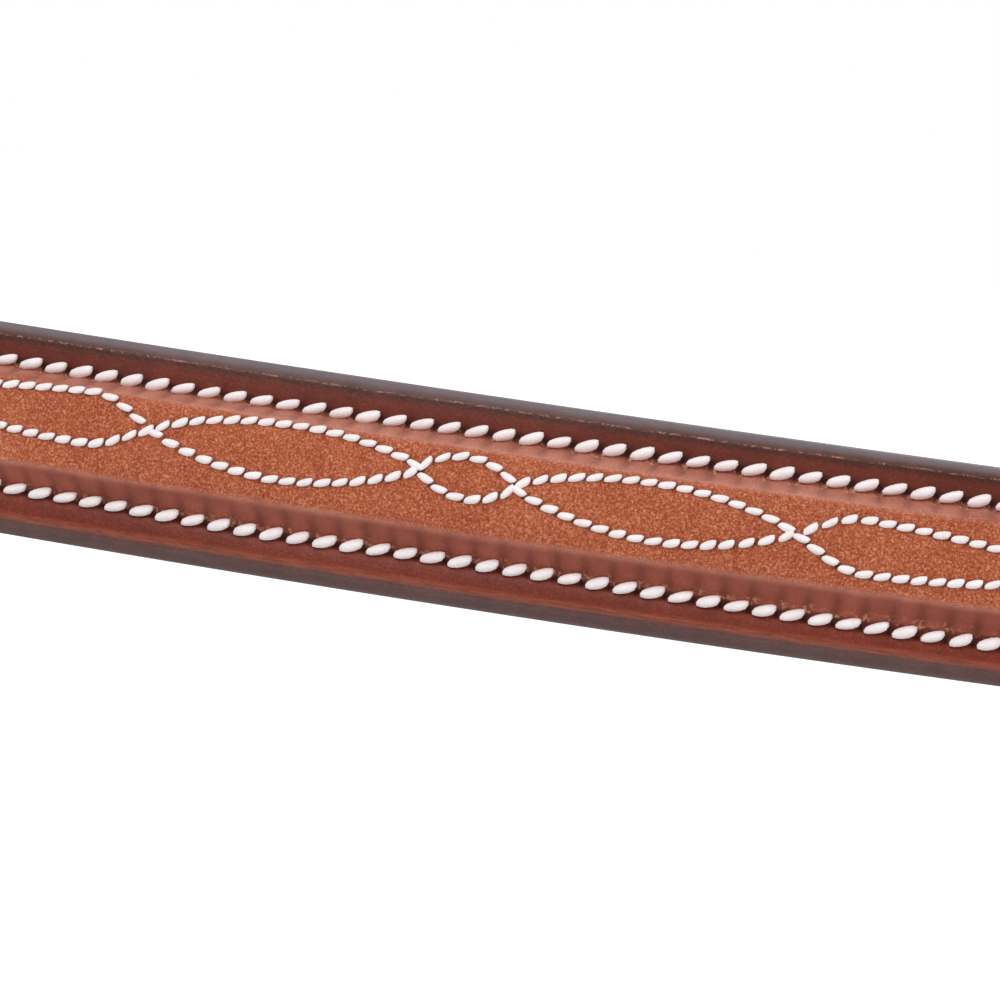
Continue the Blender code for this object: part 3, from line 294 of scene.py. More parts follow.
NOSEBAND_WANDER = (in_mm(0.0), in_mm(0.0))

# How finely routes, edges and round bodies are drawn
BEND_STEPS = 14
JOG_STEPS = 5
ARCH_STEPS = 120
HANGER_ARCH_STEPS = 60
THROAT_STEPS = 60
BAND_STEPS = 60
LOOP_STEPS = 24
FOLD_STEPS = 20
JAW_STEPS = 30
SMALL_BEND_STEPS = 8
KEEPER_BEND_STEPS = 6
POINT_STEPS = 6
TIP_STEPS = 8
CORE_STEPS = 120
CORE_HALF_STEPS = 6
STRAP_STEP = 3.0 * MM
EDGE_STEPS = 6
FACE_STEPS_A_STITCH = 8
FACE_STEPS_ACROSS = (8, 6, 2, 5, 3)
FACE_ROUND_STEPS = 7
LINING_ROUND_STEPS = 8
WIRE_SIDES = 16
TONGUE_SIDES = 12
TONGUE_SMOOTHING = 4
TONGUE_TAPER_POINTS = 10
TONGUE_FLAT_POINTS = 12
STUD_SIDES = 14
STUD_BASE_SIDES = 32
HOLE_SIDES = 24
WELD = 0.001 * MM
NORMAL_REACH = 0.3 * MM
SHARP_ANGLE = 50.0
OVERRUN = 4.0 * MM

# A strap's dressed edges, and the pressed line inside them
EDGE_REACH = 0.95 * MM
EDGE_TONE = 0.35
CREASE_SET = 2.0 * MM
CREASE_SET_MOST = 0.3
CREASE_TONE = 0.4
CREASE_HALF = 0.32 * MM
CREASE_DEPTH = 0.22 * MM
CREASE_FULL_WIDTH = 8.0 * MM
CREASE_GONE_WIDTH = CREASE_FULL_WIDTH * 2 / 3
KEEPER_CREASE_DEPTH = 0.16 * MM
KEEPER_EDGE_SHARE = 0.75

# Thread: one stitch's size, its turn on its row in degrees, its shear and how blunt its ends are. A row is
# set in from its strap's end and kept clear of the keepers. Each piece of work has its own seed. Turns,
# lengths and plumpness are how far handwork strays.
Stitch = namedtuple("Stitch", "length width height slant skew blunt", defaults=(0.10, 0.36))
PLAIN_STITCH = Stitch(2.15 * MM, 0.8 * MM, 0.36 * MM, 14.0)
BROWBAND_EDGE_STITCH = Stitch(2.16 * MM, 1.0 * MM, 0.45 * MM, 15.0, 0.11, 0.34)
BROWBAND_FANCY_STITCH = Stitch(1.5 * MM, 0.71 * MM, 0.28 * MM, 8.0, 0.12, 0.46)
NOSEBAND_EDGE_STITCH = Stitch(2.26 * MM, 1.04 * MM, 0.45 * MM, 15.0, 0.11, 0.34)
NOSEBAND_FANCY_STITCH = Stitch(1.56 * MM, 0.75 * MM, 0.28 * MM, 8.0, 0.12, 0.46)
PLAIN_PITCH = 2.5 * MM
PLAIN_INSET = 2.2 * MM
CHAPE_ROW_SET = 2.0 * MM
CHAPE_ROW_CLEAR = 0.6 * MM
BIT_ROW_REACH = 1.0 * MM
BIT_ROW_CLEAR = 0.4 * MM
BIT_ROW_SET = 1.5 * MM
TAIL_ROW_LOW_SET = 1.5 * MM
TAIL_ROW_TOP_SET = 2.0 * MM
JAW_ROW_FRONT_SET = 2.0 * MM
JAW_ROW_BACK_SET = 3.0 * MM
CHEEK_SEEDS = {"near_cheek": 31, "off_cheek": 32}
THROAT_SEED = 41
HANGER_SEED = 51
JAW_SEED = 61
BROWBAND_SEED = 7
LOOP_SEED = 21
NOSEBAND_SEED = 9
STITCH_TURNS = (-3.0, 3.0)
STITCH_LENGTHS = (0.95, 1.04)
STITCH_PLUMPNESS = (0.92, 1.08)
STITCH_SIDES = 8
STITCH_RINGS = 6
STITCH_SWELL = 0.14
STITCH_LIFT = 0.35
STITCHES_POINTS = 1500


class Route:
    """A strap's middle line in a plane, drawn as straight runs and round bends."""

    def __init__(self, right, up, heading):
        self.point = Vector((right, up))
        self.heading = radians(heading)
        self.length = 0.0
        self.stations = [(self.point.copy(), self.heading, self.length)]

    def mark(self, step):
        """Keep the place reached as a station."""
        self.length += step
        self.stations.append((self.point.copy(), self.heading, self.length))

    def run(self, length):
        """Go straight on."""
        steps = max(1, ceil(length / STRAP_STEP))
        for _ in range(steps):
            self.point = self.point + Vector((cos(self.heading), sin(self.heading))) * (length / steps)
            self.mark(length / steps)
        return self

    def run_point(self):
        """Go straight on through a pointed end, in the short steps that its outline needs."""
        for _ in range(POINT_STEPS):
            self.run(POINT_LENGTH / POINT_STEPS)
        return self

    def bend(self, radius, angle, steps=BEND_STEPS):
        """Turn by an angle in degrees, to the left where it is positive."""
        side = 1 if angle > 0 else -1
        turn = radians(angle) / steps
        centre = self.point + Vector((-sin(self.heading), cos(self.heading))) * (side * radius)
        for _ in range(steps):
            self.heading += turn
            self.point = centre + Vector((sin(self.heading), -cos(self.heading))) * (side * radius)
            self.mark(abs(turn) * radius)
        return self

    def jog(self, offset, radius):
        """Step sideways, to the left where the offset is positive, by two opposite bends."""
        angle = degrees(acos(1 - abs(offset) / (2 * radius)))
        side = 1 if offset > 0 else -1
        self.bend(radius, side * angle, JOG_STEPS)
        return self.bend(radius, -side * angle, JOG_STEPS)

    def at(self, length):
        """The place and heading at a length; a length below zero is on the mirrored half."""
        reach = min(abs(length), self.length)
        for before, after in zip(self.stations, self.stations[1:]):
            if reach <= after[2]:
                share = (reach - before[2]) / (after[2] - before[2])
                place = before[0].lerp(after[0], share)
                heading = before[1] + (after[1] - before[1]) * share
                break
        if length < 0:
            return Vector((-place.x, place.y)), -heading, length
        return place, heading, length

    def both_ways(self):
        """Stations from the far end of the mirrored half to the far end of this one."""
        mirrored = [(Vector((-point.x, point.y)), -heading, -length)
                    for point, heading, length in reversed(self.stations[1:])]
        return mirrored + self.stations


def jog_length(offset, radius):
    """How far a jog carries a route forwards."""
    return 2 * radius * sin(acos(1 - abs(offset) / (2 * radius)))


def no_lean(length):
    """A section that stands square to its plane."""
    return 0.0


class Plane:
    """Where a route's plane lies; its third axis runs across the strap, and its section may lean in."""

    def __init__(self, origin, right, up, lean_at=no_lean):
        self.origin = Vector(origin)
        self.right = Vector(right)
        self.up = Vector(up)
        self.across = self.right.cross(self.up)
        self.lean_at = lean_at

    def place(self, station, across, outwards):
        """A point of the section at a station; outwards is to the right of the route's heading."""
        point, heading, length = station
        lean = self.lean_at(length)
        side = self.right * sin(heading) - self.up * cos(heading)
        middle = self.origin + self.right * point.x + self.up * point.y
        middle += self.across * (across * cos(lean) + outwards * sin(lean))
        return middle + side * (outwards * cos(lean) - across * sin(lean))


UPRIGHT = Plane((0, 0, 0), (1, 0, 0), (0, 0, 1))
LEVEL = Plane((0, 0, 0), (1, 0, 0), (0, 1, 0))


def eased(share):
    """From 0 to 1 with a smooth start and end."""
    share = min(1.0, max(0.0, share))
    return share * share * (3 - 2 * share)


def between(value, places, results):
    """A value read from a line through chosen places."""
    if value <= places[0]:
        return results[0]
    for before, after, low, high in zip(places, places[1:], results, results[1:]):
        if value <= after:
            return low + (high - low) * (value - before) / (after - before)
    return results[-1]


# Meshes: flat grids bent round rings of points, each with its share of edge finish and its share of painted
# shade at awl holes and stitch dips

def new_shape():
    """An empty shape with a point's share of edge finish, its nearness to an awl hole or a stitch dip as a
    share of painted shade, and a run map.
    """
    shape = bmesh.new()
    shape.verts.layers.float.new("edge")
    shape.verts.layers.float.new("awl_shade")
    shape.verts.layers.float.new("low_side")
    shape.loops.layers.uv.new("run")
    return shape


def form(shape, rings, lengths, closed=False):
    """Bend a flat grid round rings of (point, edge share, share of painted shade at awl holes), and close its
    seam and ends.
    """
    rows = len(rings) - 1
    columns = len(rings[0])
    grid = bmesh.ops.create_grid(shape, x_segments=columns, y_segments=rows, size=0.5)["verts"]
    edge = shape.verts.layers.float["edge"]
    awl_shade = shape.verts.layers.float["awl_shade"]
    low_side = shape.verts.layers.float["low_side"]
    run = shape.loops.layers.uv["run"]
    rounds = []
    for ring in rings:
        done = [0.0]
        for number in range(columns):
            done.append(done[-1] + (ring[(number + 1) % columns][0] - ring[number][0]).length)
        rounds.append(done)
    seam = []
    faces = set()
    for vert in grid:
        column = round((vert.co.x + 0.5) * columns)
        row = round((vert.co.y + 0.5) * rows)
        point, vert[edge], vert[awl_shade], *rest = rings[row][column % columns]
        if rest:
            vert[low_side] = rest[0]
        vert.co = point
        for loop in vert.link_loops:
            loop[run].uv = (lengths[row], rounds[row][column])
            faces.add(loop.face)
        if column in (0, columns) or row in (0, rows):
            seam.append(vert)
    bmesh.ops.remove_doubles(shape, verts=seam, dist=WELD)
    if not closed:
        rim = [line for line in shape.edges if line.is_boundary]
        bmesh.ops.holes_fill(shape, edges=rim, sides=0)


def mesh_of(shape):
    """The finished mesh of a shape, with its faces pointing out."""
    bmesh.ops.recalc_face_normals(shape, faces=shape.faces)
    mesh = bpy.data.meshes.new("made")
    shape.to_mesh(mesh)
    shape.free()
    return mesh


def bent(rings, lengths, closed=False):
    """The mesh of one flat grid bent round its rings."""
    shape = new_shape()
    form(shape, rings, lengths, closed)
    return mesh_of(shape)


def shown(name, data):
    """A new object in the scene."""
    made = bpy.data.objects.new(name, data)
    bpy.context.scene.collection.objects.link(made)
    return made


def piece(name, mesh, finish, body, nodes=()):
    """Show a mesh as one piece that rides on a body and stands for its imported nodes."""
    mesh.name = name
    mesh.shade_smooth()
    mesh.set_sharp_from_angle(angle=radians(SHARP_ANGLE))
    mesh.materials.clear()
    mesh.materials.append(finish)
    made = shown(name, mesh)
    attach(made, body)
    if nodes:
        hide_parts(*nodes)
    return made


def leather_piece(node, mesh, finish=None):
    """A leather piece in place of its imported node."""
    return piece(node + "_leather", mesh, finish or STRAP_LEATHER, BODY_OF[node], [node])


def punched(mesh, *cutters):
    """The mesh with the cutters' bodies taken out of it."""
    for cutter in cutters:
        body = shown("body", mesh)
        tool = shown("tool", cutter)
        cut = body.modifiers.new("cut", 'BOOLEAN')
        cut.operation = 'DIFFERENCE'
        cut.solver = 'EXACT'
        cut.object = tool
        bpy.context.view_layer.update()
        graph = bpy.context.evaluated_depsgraph_get()
        mesh = bpy.data.meshes.new_from_object(body.evaluated_get(graph))
        for made in (body, tool):
            bpy.data.objects.remove(made)
    return mesh


def edge_points(edge, side, half, share):
    """Round one dressed edge, from the front face to the back; side is 1 at the high edge."""
    points = []
    for step in range(EDGE_STEPS + 1):
        angle = pi / 2 - pi * step / EDGE_STEPS
        across = edge - side * EDGE_REACH * share * (1 - cos(angle))
        points.append((across, half * sin(angle), share * (EDGE_TONE + (1 - EDGE_TONE) * cos(angle))))
    return points


def strap_section(low, high, thickness, low_share=1.0, high_share=1.0, crease=CREASE_DEPTH):
    """A strap's outline: dressed edges, a flat back and a pressed line inside each edge in front."""
    half = thickness / 2
    inset = min(CREASE_SET, CREASE_SET_MOST * (high - low))
    points = edge_points(high, 1, half, high_share)
    points += reversed(edge_points(low, -1, half, low_share))
    for side, edge, share in ((1, low, low_share), (-1, high, high_share)):
        line = edge + side * inset
        for offset, depth in ((-CREASE_HALF, 0.0), (0.0, crease * share), (CREASE_HALF, 0.0)):
            points.append((line + offset, half - depth, CREASE_TONE * share * (offset == 0.0)))
    return points


def crease_depth(width):
    """How deep the pressed lines are: they run out where a strap is drawn in to its point."""
    return CREASE_DEPTH * eased((width - CREASE_GONE_WIDTH) / (CREASE_FULL_WIDTH - CREASE_GONE_WIDTH))


def strap_ring(plane, station, section, matrix=None):
    """A section's points at a station."""
    ring = []
    for across, out, edge in section:
        point = plane.place(station, across, out)
        ring.append((matrix @ point if matrix else point, edge, 0.0))
    return ring


def even(width):
    """The same width all along."""
    def at(length, total):
        return width
    return at


def pointed(width, at_start=False):
    """Full width, but drawn in to a blunt point at the strap's end, or at its start."""
    def at(length, total):
        share = min(1.0, (length if at_start else total - length) / POINT_LENGTH)
        return width * (POINT_NOSE_SHARE + (1 - POINT_NOSE_SHARE) * (1 - (1 - share) ** 2))
    return at


def reached(stations):
    """How far along its route each station is."""
    return [length for _, _, length in stations]


def strap_mesh(stations, plane, width_at, matrix=None, flip=False):
    """A strap along its stations; its pressed lines are on its outer side, or its inner one if flipped."""
    total = stations[-1][2]
    rings = []
    for station in stations:
        half = width_at(station[2], total) / 2
        section = strap_section(-half, half, STRAP_THICKNESS, crease=crease_depth(2 * half))
        if flip:
            section = [(-across, -out, edge) for across, out, edge in section]
        rings.append(strap_ring(plane, station, section, matrix))
    return bent(rings, reached(stations))


def ellipse_rings(centres, across, radii, sides, flatten=None):
    """Rings round a wire's line that bends in one plane; across is that plane's normal."""
    rings = []
    for number, centre in enumerate(centres):
        before = centres[max(0, number - 1)]
        after = centres[min(len(centres) - 1, number + 1)]
        inwards = (after - before).normalized().cross(across)
        radius = radii[number]
        out = radius * (flatten[number] if flatten else 1.0)
        ring = []
        for step in range(sides):
            angle = 2 * pi * step / sides
            point = centre + inwards * (out * cos(angle)) + across * (radius * sin(angle))
            ring.append((point, 0.0, 0.0))
        rings.append(ring)
    return rings


def smoothed(points, steps):
    """A Catmull-Rom line through points."""
    line = []
    padded = [points[0]] + list(points) + [points[-1]]
    for a, b, c, d in zip(padded, padded[1:], padded[2:], padded[3:]):
        for step in range(steps):
            t = step / steps
            line.append(0.5 * (2 * b + (c - a) * t + (2 * a - 5 * b + 4 * c - d) * t ** 2
                               + (3 * b - a - 3 * c + d) * t ** 3))
    line.append(points[-1])
    return line


def lengths_along(line):
    """How far along a line each of its points is."""
    done = [0.0]
    for before, after in zip(line, line[1:]):
        done.append(done[-1] + (after - before).length)
    return done


def oval_cutter(holes, depth):
    """Punched holes: each has a centre, a turn, a half width and a half length."""
    shape = new_shape()
    edge = shape.verts.layers.float["edge"]
    for centre, turn, half_width, half_length in holes:
        place = Matrix.Translation(centre) @ turn @ Matrix.Diagonal((half_width, half_length, depth, 1.0))
        made = bmesh.ops.create_cone(shape, cap_ends=True, segments=HOLE_SIDES, radius1=1.0, radius2=1.0,
                                     depth=1.0, matrix=place)
        for vert in made["verts"]:
            vert[edge] = 1.0
    return mesh_of(shape)


def box_cutter(boxes):
    """Slots: each has a centre and three sides."""
    shape = new_shape()
    edge = shape.verts.layers.float["edge"]
    for centre, sides in boxes:
        place = Matrix.Translation(centre) @ Matrix.Diagonal((*sides, 1.0))
        for vert in bmesh.ops.create_cube(shape, size=1.0, matrix=place)["verts"]:
            vert[edge] = 1.0
    return mesh_of(shape)


THROUGH_SIDE = Matrix(((0, 0, 1, 0), (1, 0, 0, 0), (0, 1, 0, 0), (0, 0, 0, 1)))


def side_frame(side, across, drop, out):
    """A frame on a side strap: its X points out of that side, its Z points up the strap."""
    turn = Matrix.Identity(4) if side > 0 else Matrix.Rotation(pi, 4, 'Z')
    return Matrix.Translation((side * out, across, -drop)) @ turn


def billet_holes(side, out, across, bar_drop, before, after):
    """A billet's row of holes: the one in use, and some below and above it."""
    return [((side * out, across, -bar_drop + HOLE_RISE + HOLE_PITCH * step), THROUGH_SIDE,
             HOLE_HALF_WIDTH, HOLE_HALF_LENGTH) for step in range(-before, after + 1)]


# Stitches

class Sewing:
    """All the stitches of one piece of work."""

    def __init__(self, name, seed):
        self.name = name
        self.shape = bmesh.new()
        self.kept = []
        self.random = Random(seed)

    def put_by(self):
        """Keep the stitches so far, so that the next ones are made in a small shape."""
        mesh = bpy.data.meshes.new("kept")
        self.shape.to_mesh(mesh)
        self.shape.clear()
        self.kept.append(mesh)

    def stitch(self, centre, along, normal, size):
        """One plump stitch: pointed where it rises, round where it dives, turned a little on its row."""
        if len(self.shape.verts) > STITCHES_POINTS:
            self.put_by()
        along = along.normalized()
        side = normal.normalized().cross(along)
        turn = radians(size.slant + self.random.uniform(*STITCH_TURNS))
        forward = along * cos(turn) + side * sin(turn)
        beside = side * cos(turn) - along * sin(turn)
        length = size.length * self.random.uniform(*STITCH_LENGTHS)
        plump = self.random.uniform(*STITCH_PLUMPNESS)
        made = bmesh.ops.create_uvsphere(self.shape, u_segments=STITCH_SIDES, v_segments=STITCH_RINGS,
                                         radius=1.0)
        for vert in made["verts"]:
            reach, across, up = vert.co.z, vert.co.x, vert.co.y
            round_off = sqrt(across * across + up * up)
            girth = (1.0 + STITCH_SWELL * reach) * max(round_off, 0.001) ** -size.blunt
            shift = size.skew * across * girth * length
            vert.co = (centre + forward * (reach * length / 2 + shift)
                       + beside * (across * girth * plump * size.width / 2)
                       + normal * (up * girth * size.height + size.height * STITCH_LIFT))

    def plain(self, point_at, start, end):
        """A row of plain stitching along a line that gives its point and its normal at a length."""
        count = max(1, round((end - start) / PLAIN_PITCH))
        for number in range(count):
            middle = start + (number + 0.5) * (end - start) / count
            before, _ = point_at(middle - PLAIN_PITCH / 2)
            after, _ = point_at(middle + PLAIN_PITCH / 2)
            centre, normal = point_at(middle)
            self.stitch(centre, after - before, normal, PLAIN_STITCH)

    def done(self, body):
        """Show the whole work as one piece of thread on a body."""
        self.put_by()
        for mesh in self.kept:
            self.shape.from_mesh(mesh)
            bpy.data.meshes.remove(mesh)
        return piece(self.name, mesh_of(self.shape), THREAD, body)


def on_strap(plane, route, across, out):
    """A line along a strap's outer face: its point and its normal at a length."""
    def at(length):
        station = route.at(length)
        point = plane.place(station, across, out)
        return point, (plane.place(station, across, out + MM) - point).normalized()
    return at


def on_flat(matrix, out, side, across):
    """A line on a flat face of a strap, measured along its frame's Z; side is 1 where the face looks out."""
    normal = (matrix.to_3x3() @ Vector((side, 0, 0))).normalized()

    def at(up):
        return matrix @ Vector((out, across, up)), normal
    return at


# Finishes

def shade(red, green, blue):
    """A colour seen as these screen values, as the light it reflects."""
    return tuple(((value / 255 + 0.055) / 1.055) ** 2.4 for value in (red, green, blue)) + (1.0,)


# A mix node's inputs and output for colours: the factor, the first and the second colour
COLOUR_MIX_INPUTS = (0, 6, 7)
COLOUR_MIX_OUTPUT = 2


class Finish:
    """A material's nodes round its Principled shader."""

    def __init__(self, name, roughness=0.5, metallic=0.0):
        self.material = bpy.data.materials.new(name)
        self.material.use_nodes = True
        self.tree = self.material.node_tree
        self.shader = self.tree.nodes["Principled BSDF"]
        self.look("Roughness", roughness)
        self.look("Metallic", metallic)
        self.place = self.tree.nodes.new("ShaderNodeTexCoord").outputs["Object"]

    def set(self, node, name, value):
        """Link or write a value into a node's input, which is given by its name or its number."""
        socket = node.inputs[name]
        if isinstance(value, bpy.types.NodeSocket):
            self.tree.links.new(value, socket)
        else:
            socket.default_value = value

    def attribute(self, name):
        """A number that the mesh keeps at each point."""
        node = self.tree.nodes.new("ShaderNodeAttribute")
        node.attribute_name = name
        return node.outputs["Fac"]

    def along(self, stretch):
        """The run map, drawn out along the strap."""
        uv = self.tree.nodes.new("ShaderNodeUVMap")
        uv.uv_map = "run"
        mapping = self.tree.nodes.new("ShaderNodeMapping")
        self.set(mapping, "Vector", uv.outputs["UV"])
        self.set(mapping, "Scale", (1.0, stretch, 1.0))
        return mapping.outputs["Vector"]

    def noise(self, scale, detail=2.0, roughness=0.5, place=None):
        """Soft noise, so many waves to a metre."""
        node = self.tree.nodes.new("ShaderNodeTexNoise")
        self.set(node, "Vector", place or self.place)
        self.set(node, "Scale", scale)
        self.set(node, "Detail", detail)
        self.set(node, "Roughness", roughness)
        return node.outputs["Fac"]

    def cells(self, scale):
        """The distance to the nearest crease between grain cells."""
        node = self.tree.nodes.new("ShaderNodeTexVoronoi")
        node.feature = 'DISTANCE_TO_EDGE'
        self.set(node, "Vector", self.place)
        self.set(node, "Scale", scale)
        return node.outputs["Distance"]

    def ramp(self, factor, stops):
        """Colours, or shares as greys, read from a factor between stops."""
        node = self.tree.nodes.new("ShaderNodeValToRGB")
        self.set(node, "Fac", factor)
        points = node.color_ramp.elements
        while len(points) < len(stops):
            points.new(0.5)
        for point, (position, colour) in zip(points, stops):
            point.position = position
            point.color = colour if isinstance(colour, tuple) else (colour, colour, colour, 1.0)
        return node.outputs["Color"]

    def mix(self, factor, first, second, blend='MIX'):
        """Two colours mixed by a factor."""
        node = self.tree.nodes.new("ShaderNodeMix")
        node.data_type = 'RGBA'
        node.blend_type = blend
        for number, value in zip(COLOUR_MIX_INPUTS, (factor, first, second)):
            self.set(node, number, value)
        return node.outputs[COLOUR_MIX_OUTPUT]

    def reckon(self, operation, first, second, clamp=False):
        """One operation on two numbers."""
        node = self.tree.nodes.new("ShaderNodeMath")
        node.operation = operation
        node.use_clamp = clamp
        self.set(node, 0, first)
        self.set(node, 1, second)
        return node.outputs[0]

    def times(self, first, second, clamp=False):
        """A product."""
        return self.reckon('MULTIPLY', first, second, clamp)

    def plus(self, first, second):
        """A sum."""
        return self.reckon('ADD', first, second)

    def minus(self, first, second):
        """A difference."""
        return self.reckon('SUBTRACT', first, second)

    def look(self, name, value):
        """Set one of the shader's inputs."""
        self.set(self.shader, name, value)

    def bump(self, height, strength, depth):
        """Raise the surface by a height."""
        node = self.tree.nodes.new("ShaderNodeBump")
        self.set(node, "Height", height)
        self.set(node, "Strength", strength)
        self.set(node, "Distance", depth)
        self.look("Normal", node.outputs["Normal"])


def scaled(colour, share):
    """A colour made lighter or darker."""
    return tuple(min(1.0, value * share) for value in colour[:3]) + (1.0,)


def smooth_leather(name, body_colour, edge_colour, roughness, worn):
    """Finished strap leather: dyed, with fine pores, dark dressed edges and darker pressed lines."""
    made = Finish(name)
    edge = made.attribute("edge")
    broad = made.noise(55.0, 3.0)
    fine = made.noise(900.0, 3.0, 0.6)
    pores = made.noise(3200.0, 2.0, 0.6)
    light = scaled(body_colour, 1.28)
    dark = scaled(body_colour, 0.70)
    dyed = made.ramp(broad, [(0.3, dark), (0.7, light)])
    dyed = made.mix(0.30, dyed, made.ramp(fine, [(0.35, dark), (0.65, light)]))
    dyed = made.mix(made.times(made.ramp(pores, [(0.56, 0.0), (0.75, 1.0)]), 0.45), dyed, dark)
    streak = made.noise(420.0, 3.0, 0.6, made.along(9.0))
    dressed = made.mix(streak, edge_colour, scaled(edge_colour, 1.9))
    wear = made.times(made.ramp(edge, [(0.40, 0.0), (0.52, 1.0), (0.70, 0.0)]),
                      made.ramp(made.noise(260.0, 4.0, 0.7), [(0.50, 0.0), (0.64, worn)]))
    dyed = made.mix(made.ramp(edge, [(0.3, 0.0), (0.75, 1.0)]), dyed, dressed)
    dyed = made.mix(wear, dyed, shade(168, 108, 84))
    made.look("Base Color", dyed)
    rough = made.plus(made.times(fine, 0.18), roughness - 0.09)
    made.look("Roughness", rough)
    made.look("Specular IOR Level", 0.26)
    height = made.plus(made.times(pores, 0.6), made.times(made.cells(1500.0), 0.8))
    height = made.plus(height, made.times(streak, 0.4))
    made.bump(height, 0.25, 0.12 * MM)
    return made.material


def raised_leather():
    """The raised bands' top leather: a nappy crown, rubbed flanks, smooth flanges and dark round edges.

    Most looks are read from a point's zone across the band, as Band.zone gives it.
    """
    made = Finish("raised_leather")
    zone = made.attribute("edge")
    awl_shade = made.attribute("awl_shade")
    low = made.ramp(made.attribute("low_side"), [(0.45, 0.0), (0.55, 1.0)])
    fibre = made.noise(4700.0, 4.0, 0.75)
    speck = made.noise(8800.0, 2.0, 0.6)
    broad = made.noise(75.0, 3.0)
    patch = made.noise(420.0, 3.0, 0.6)
    streak = made.noise(380.0, 4.0, 0.65, made.along(14.0))
    wander = made.times(made.minus(made.noise(85.0, 5.0, 0.62), 0.5), 0.05)
    drawn = made.plus(zone, wander)

    # From the crown's middle over the flank and the flange to the edge, then the lower side's darker parts.
    # The pale line at the shoulder and the pink upper flank are partly painted sheen, the greys on the round
    # edge are painted reflection on its dark dye, and the lower side's darker parts are painted shade.
    base = made.ramp(drawn, [(0.0, shade(183, 93, 60)), (0.27, shade(188, 98, 66)),
                             (0.31, shade(210, 144, 124)), (0.325, shade(200, 134, 118)),
                             (0.44, shade(172, 104, 88)), (0.475, shade(108, 52, 42)),
                             (0.53, shade(99, 41, 30)), (0.70, shade(90, 34, 25)),
                             (0.765, shade(50, 19, 15)), (0.83, shade(80, 54, 50)),
                             (0.89, shade(94, 82, 85)), (0.95, shade(88, 78, 80)),
                             (1.0, shade(52, 36, 34))])
    # Painted shade: on the lower side the flank, the flange and the round edge take darker copies of the
    # upper side's colours.
    slope = made.times(low, made.ramp(drawn, [(0.28, 0.0), (0.34, 1.0), (0.44, 1.0), (0.47, 0.0)]))
    base = made.mix(slope, base, shade(162, 86, 70))
    flat = made.times(low, made.ramp(drawn, [(0.47, 0.0), (0.52, 1.0), (0.78, 1.0), (0.82, 0.0)]))
    base = made.mix(flat, base, shade(104, 33, 18))
    under = made.times(low, made.ramp(drawn, [(0.83, 0.0), (0.86, 1.0)]))
    base = made.mix(under, base, shade(84, 59, 57))

    # The nap on the crown, with furred patches on the upper flank
    rubbed = made.ramp(drawn, [(0.265, 1.0), (0.32, 0.12)])
    rough = made.ramp(zone, [(0.275, 1.0), (0.31, 0.52), (0.42, 0.34), (0.47, 0.08)])
    furred = made.ramp(made.noise(34.0, 2.0, 0.5), [(0.46, 0.0), (0.56, 1.0)])
    furred = made.times(furred, made.ramp(drawn, [(0.29, 1.0), (0.35, 0.9), (0.40, 0.0)]))
    furred = made.times(furred, made.minus(1.0, low))
    base = made.mix(made.times(furred, made.ramp(zone, [(0.275, 0.0), (0.30, 0.6)])), base,
                    shade(178, 98, 72))
    nap = made.mix(low, made.reckon('MAXIMUM', rough, made.times(furred, 0.95)), rubbed)
    mottle = made.ramp(fibre, [(0.34, shade(104, 38, 16)), (0.50, shade(184, 94, 58)),
                               (0.63, shade(246, 174, 140))])
    mottle = made.mix(made.ramp(speck, [(0.48, 0.0), (0.66, 0.6)]), mottle, shade(128, 52, 22))
    base = made.mix(made.times(nap, 0.64), base, mottle)
    base = made.mix(0.5, base, made.ramp(patch, [(0.3, 0.34), (0.7, 0.66)]), 'SOFT_LIGHT')
    base = made.mix(0.5, base, made.ramp(broad, [(0.3, 0.38), (0.7, 0.62)]), 'SOFT_LIGHT')

    # The rim's worn line, thin above and wide below, and a painted highlight along the round edge, weaker on
    # the lower side
    thin = made.ramp(drawn, [(0.782, 0.0), (0.794, 1.0), (0.802, 1.0), (0.812, 0.0)])
    wide = made.ramp(drawn, [(0.74, 0.0), (0.79, 0.9), (0.84, 1.0), (0.865, 0.0)])
    thin = made.times(thin, made.ramp(streak, [(0.50, 0.0), (0.60, 0.8)]))
    wide = made.times(wide, made.ramp(streak, [(0.32, 0.10), (0.66, 0.85)]))
    worn = made.mix(low, shade(196, 138, 120), shade(160, 84, 62))
    base = made.mix(made.mix(low, thin, wide), base, worn)
    painted_edge_highlight = made.ramp(zone, [(0.84, 0.0), (0.90, 1.0), (0.96, 1.0), (1.0, 0.3)])
    painted_edge_highlight = made.times(painted_edge_highlight, made.ramp(streak, [(0.30, 0.25), (0.75, 0.6)]))
    painted_edge_highlight = made.times(painted_edge_highlight, made.ramp(low, [(0.0, 1.0), (1.0, 0.35)]))
    base = made.mix(painted_edge_highlight, base, shade(126, 118, 124))

    # Loose fibres at the flank's foot, and painted shade in the awl holes, along the groove, in the puckers
    # and round the wells
    frayed = made.times(made.ramp(zone, [(0.40, 0.0), (0.43, 1.0), (0.475, 1.0), (0.49, 0.0)]),
                        made.ramp(made.noise(2100.0, 3.0, 0.65), [(0.52, 0.0), (0.60, 0.9)]))
    frayed = made.times(frayed, made.ramp(awl_shade, [(0.03, 0.25), (0.2, 1.0)]))
    base = made.mix(frayed, base, shade(230, 164, 130))
    base = made.mix(made.times(awl_shade, 0.9, True), base, shade(38, 22, 22))
    made.look("Base Color", base)
    made.look("Roughness", made.ramp(zone, [(0.27, 0.90), (0.32, 0.62), (0.48, 0.55), (0.56, 0.38),
                                            (0.80, 0.36), (0.9, 0.45)]))
    made.look("Specular IOR Level", 0.15)
    made.look("Sheen Weight", 0.05)
    made.look("Sheen Roughness", 0.5)
    pores = made.times(made.noise(2600.0, 3.0, 0.6), 0.3)
    nappy = made.plus(fibre, made.times(speck, 0.5))
    made.bump(made.mix(nap, pores, nappy), 0.75, 0.2 * MM)
    return made.material


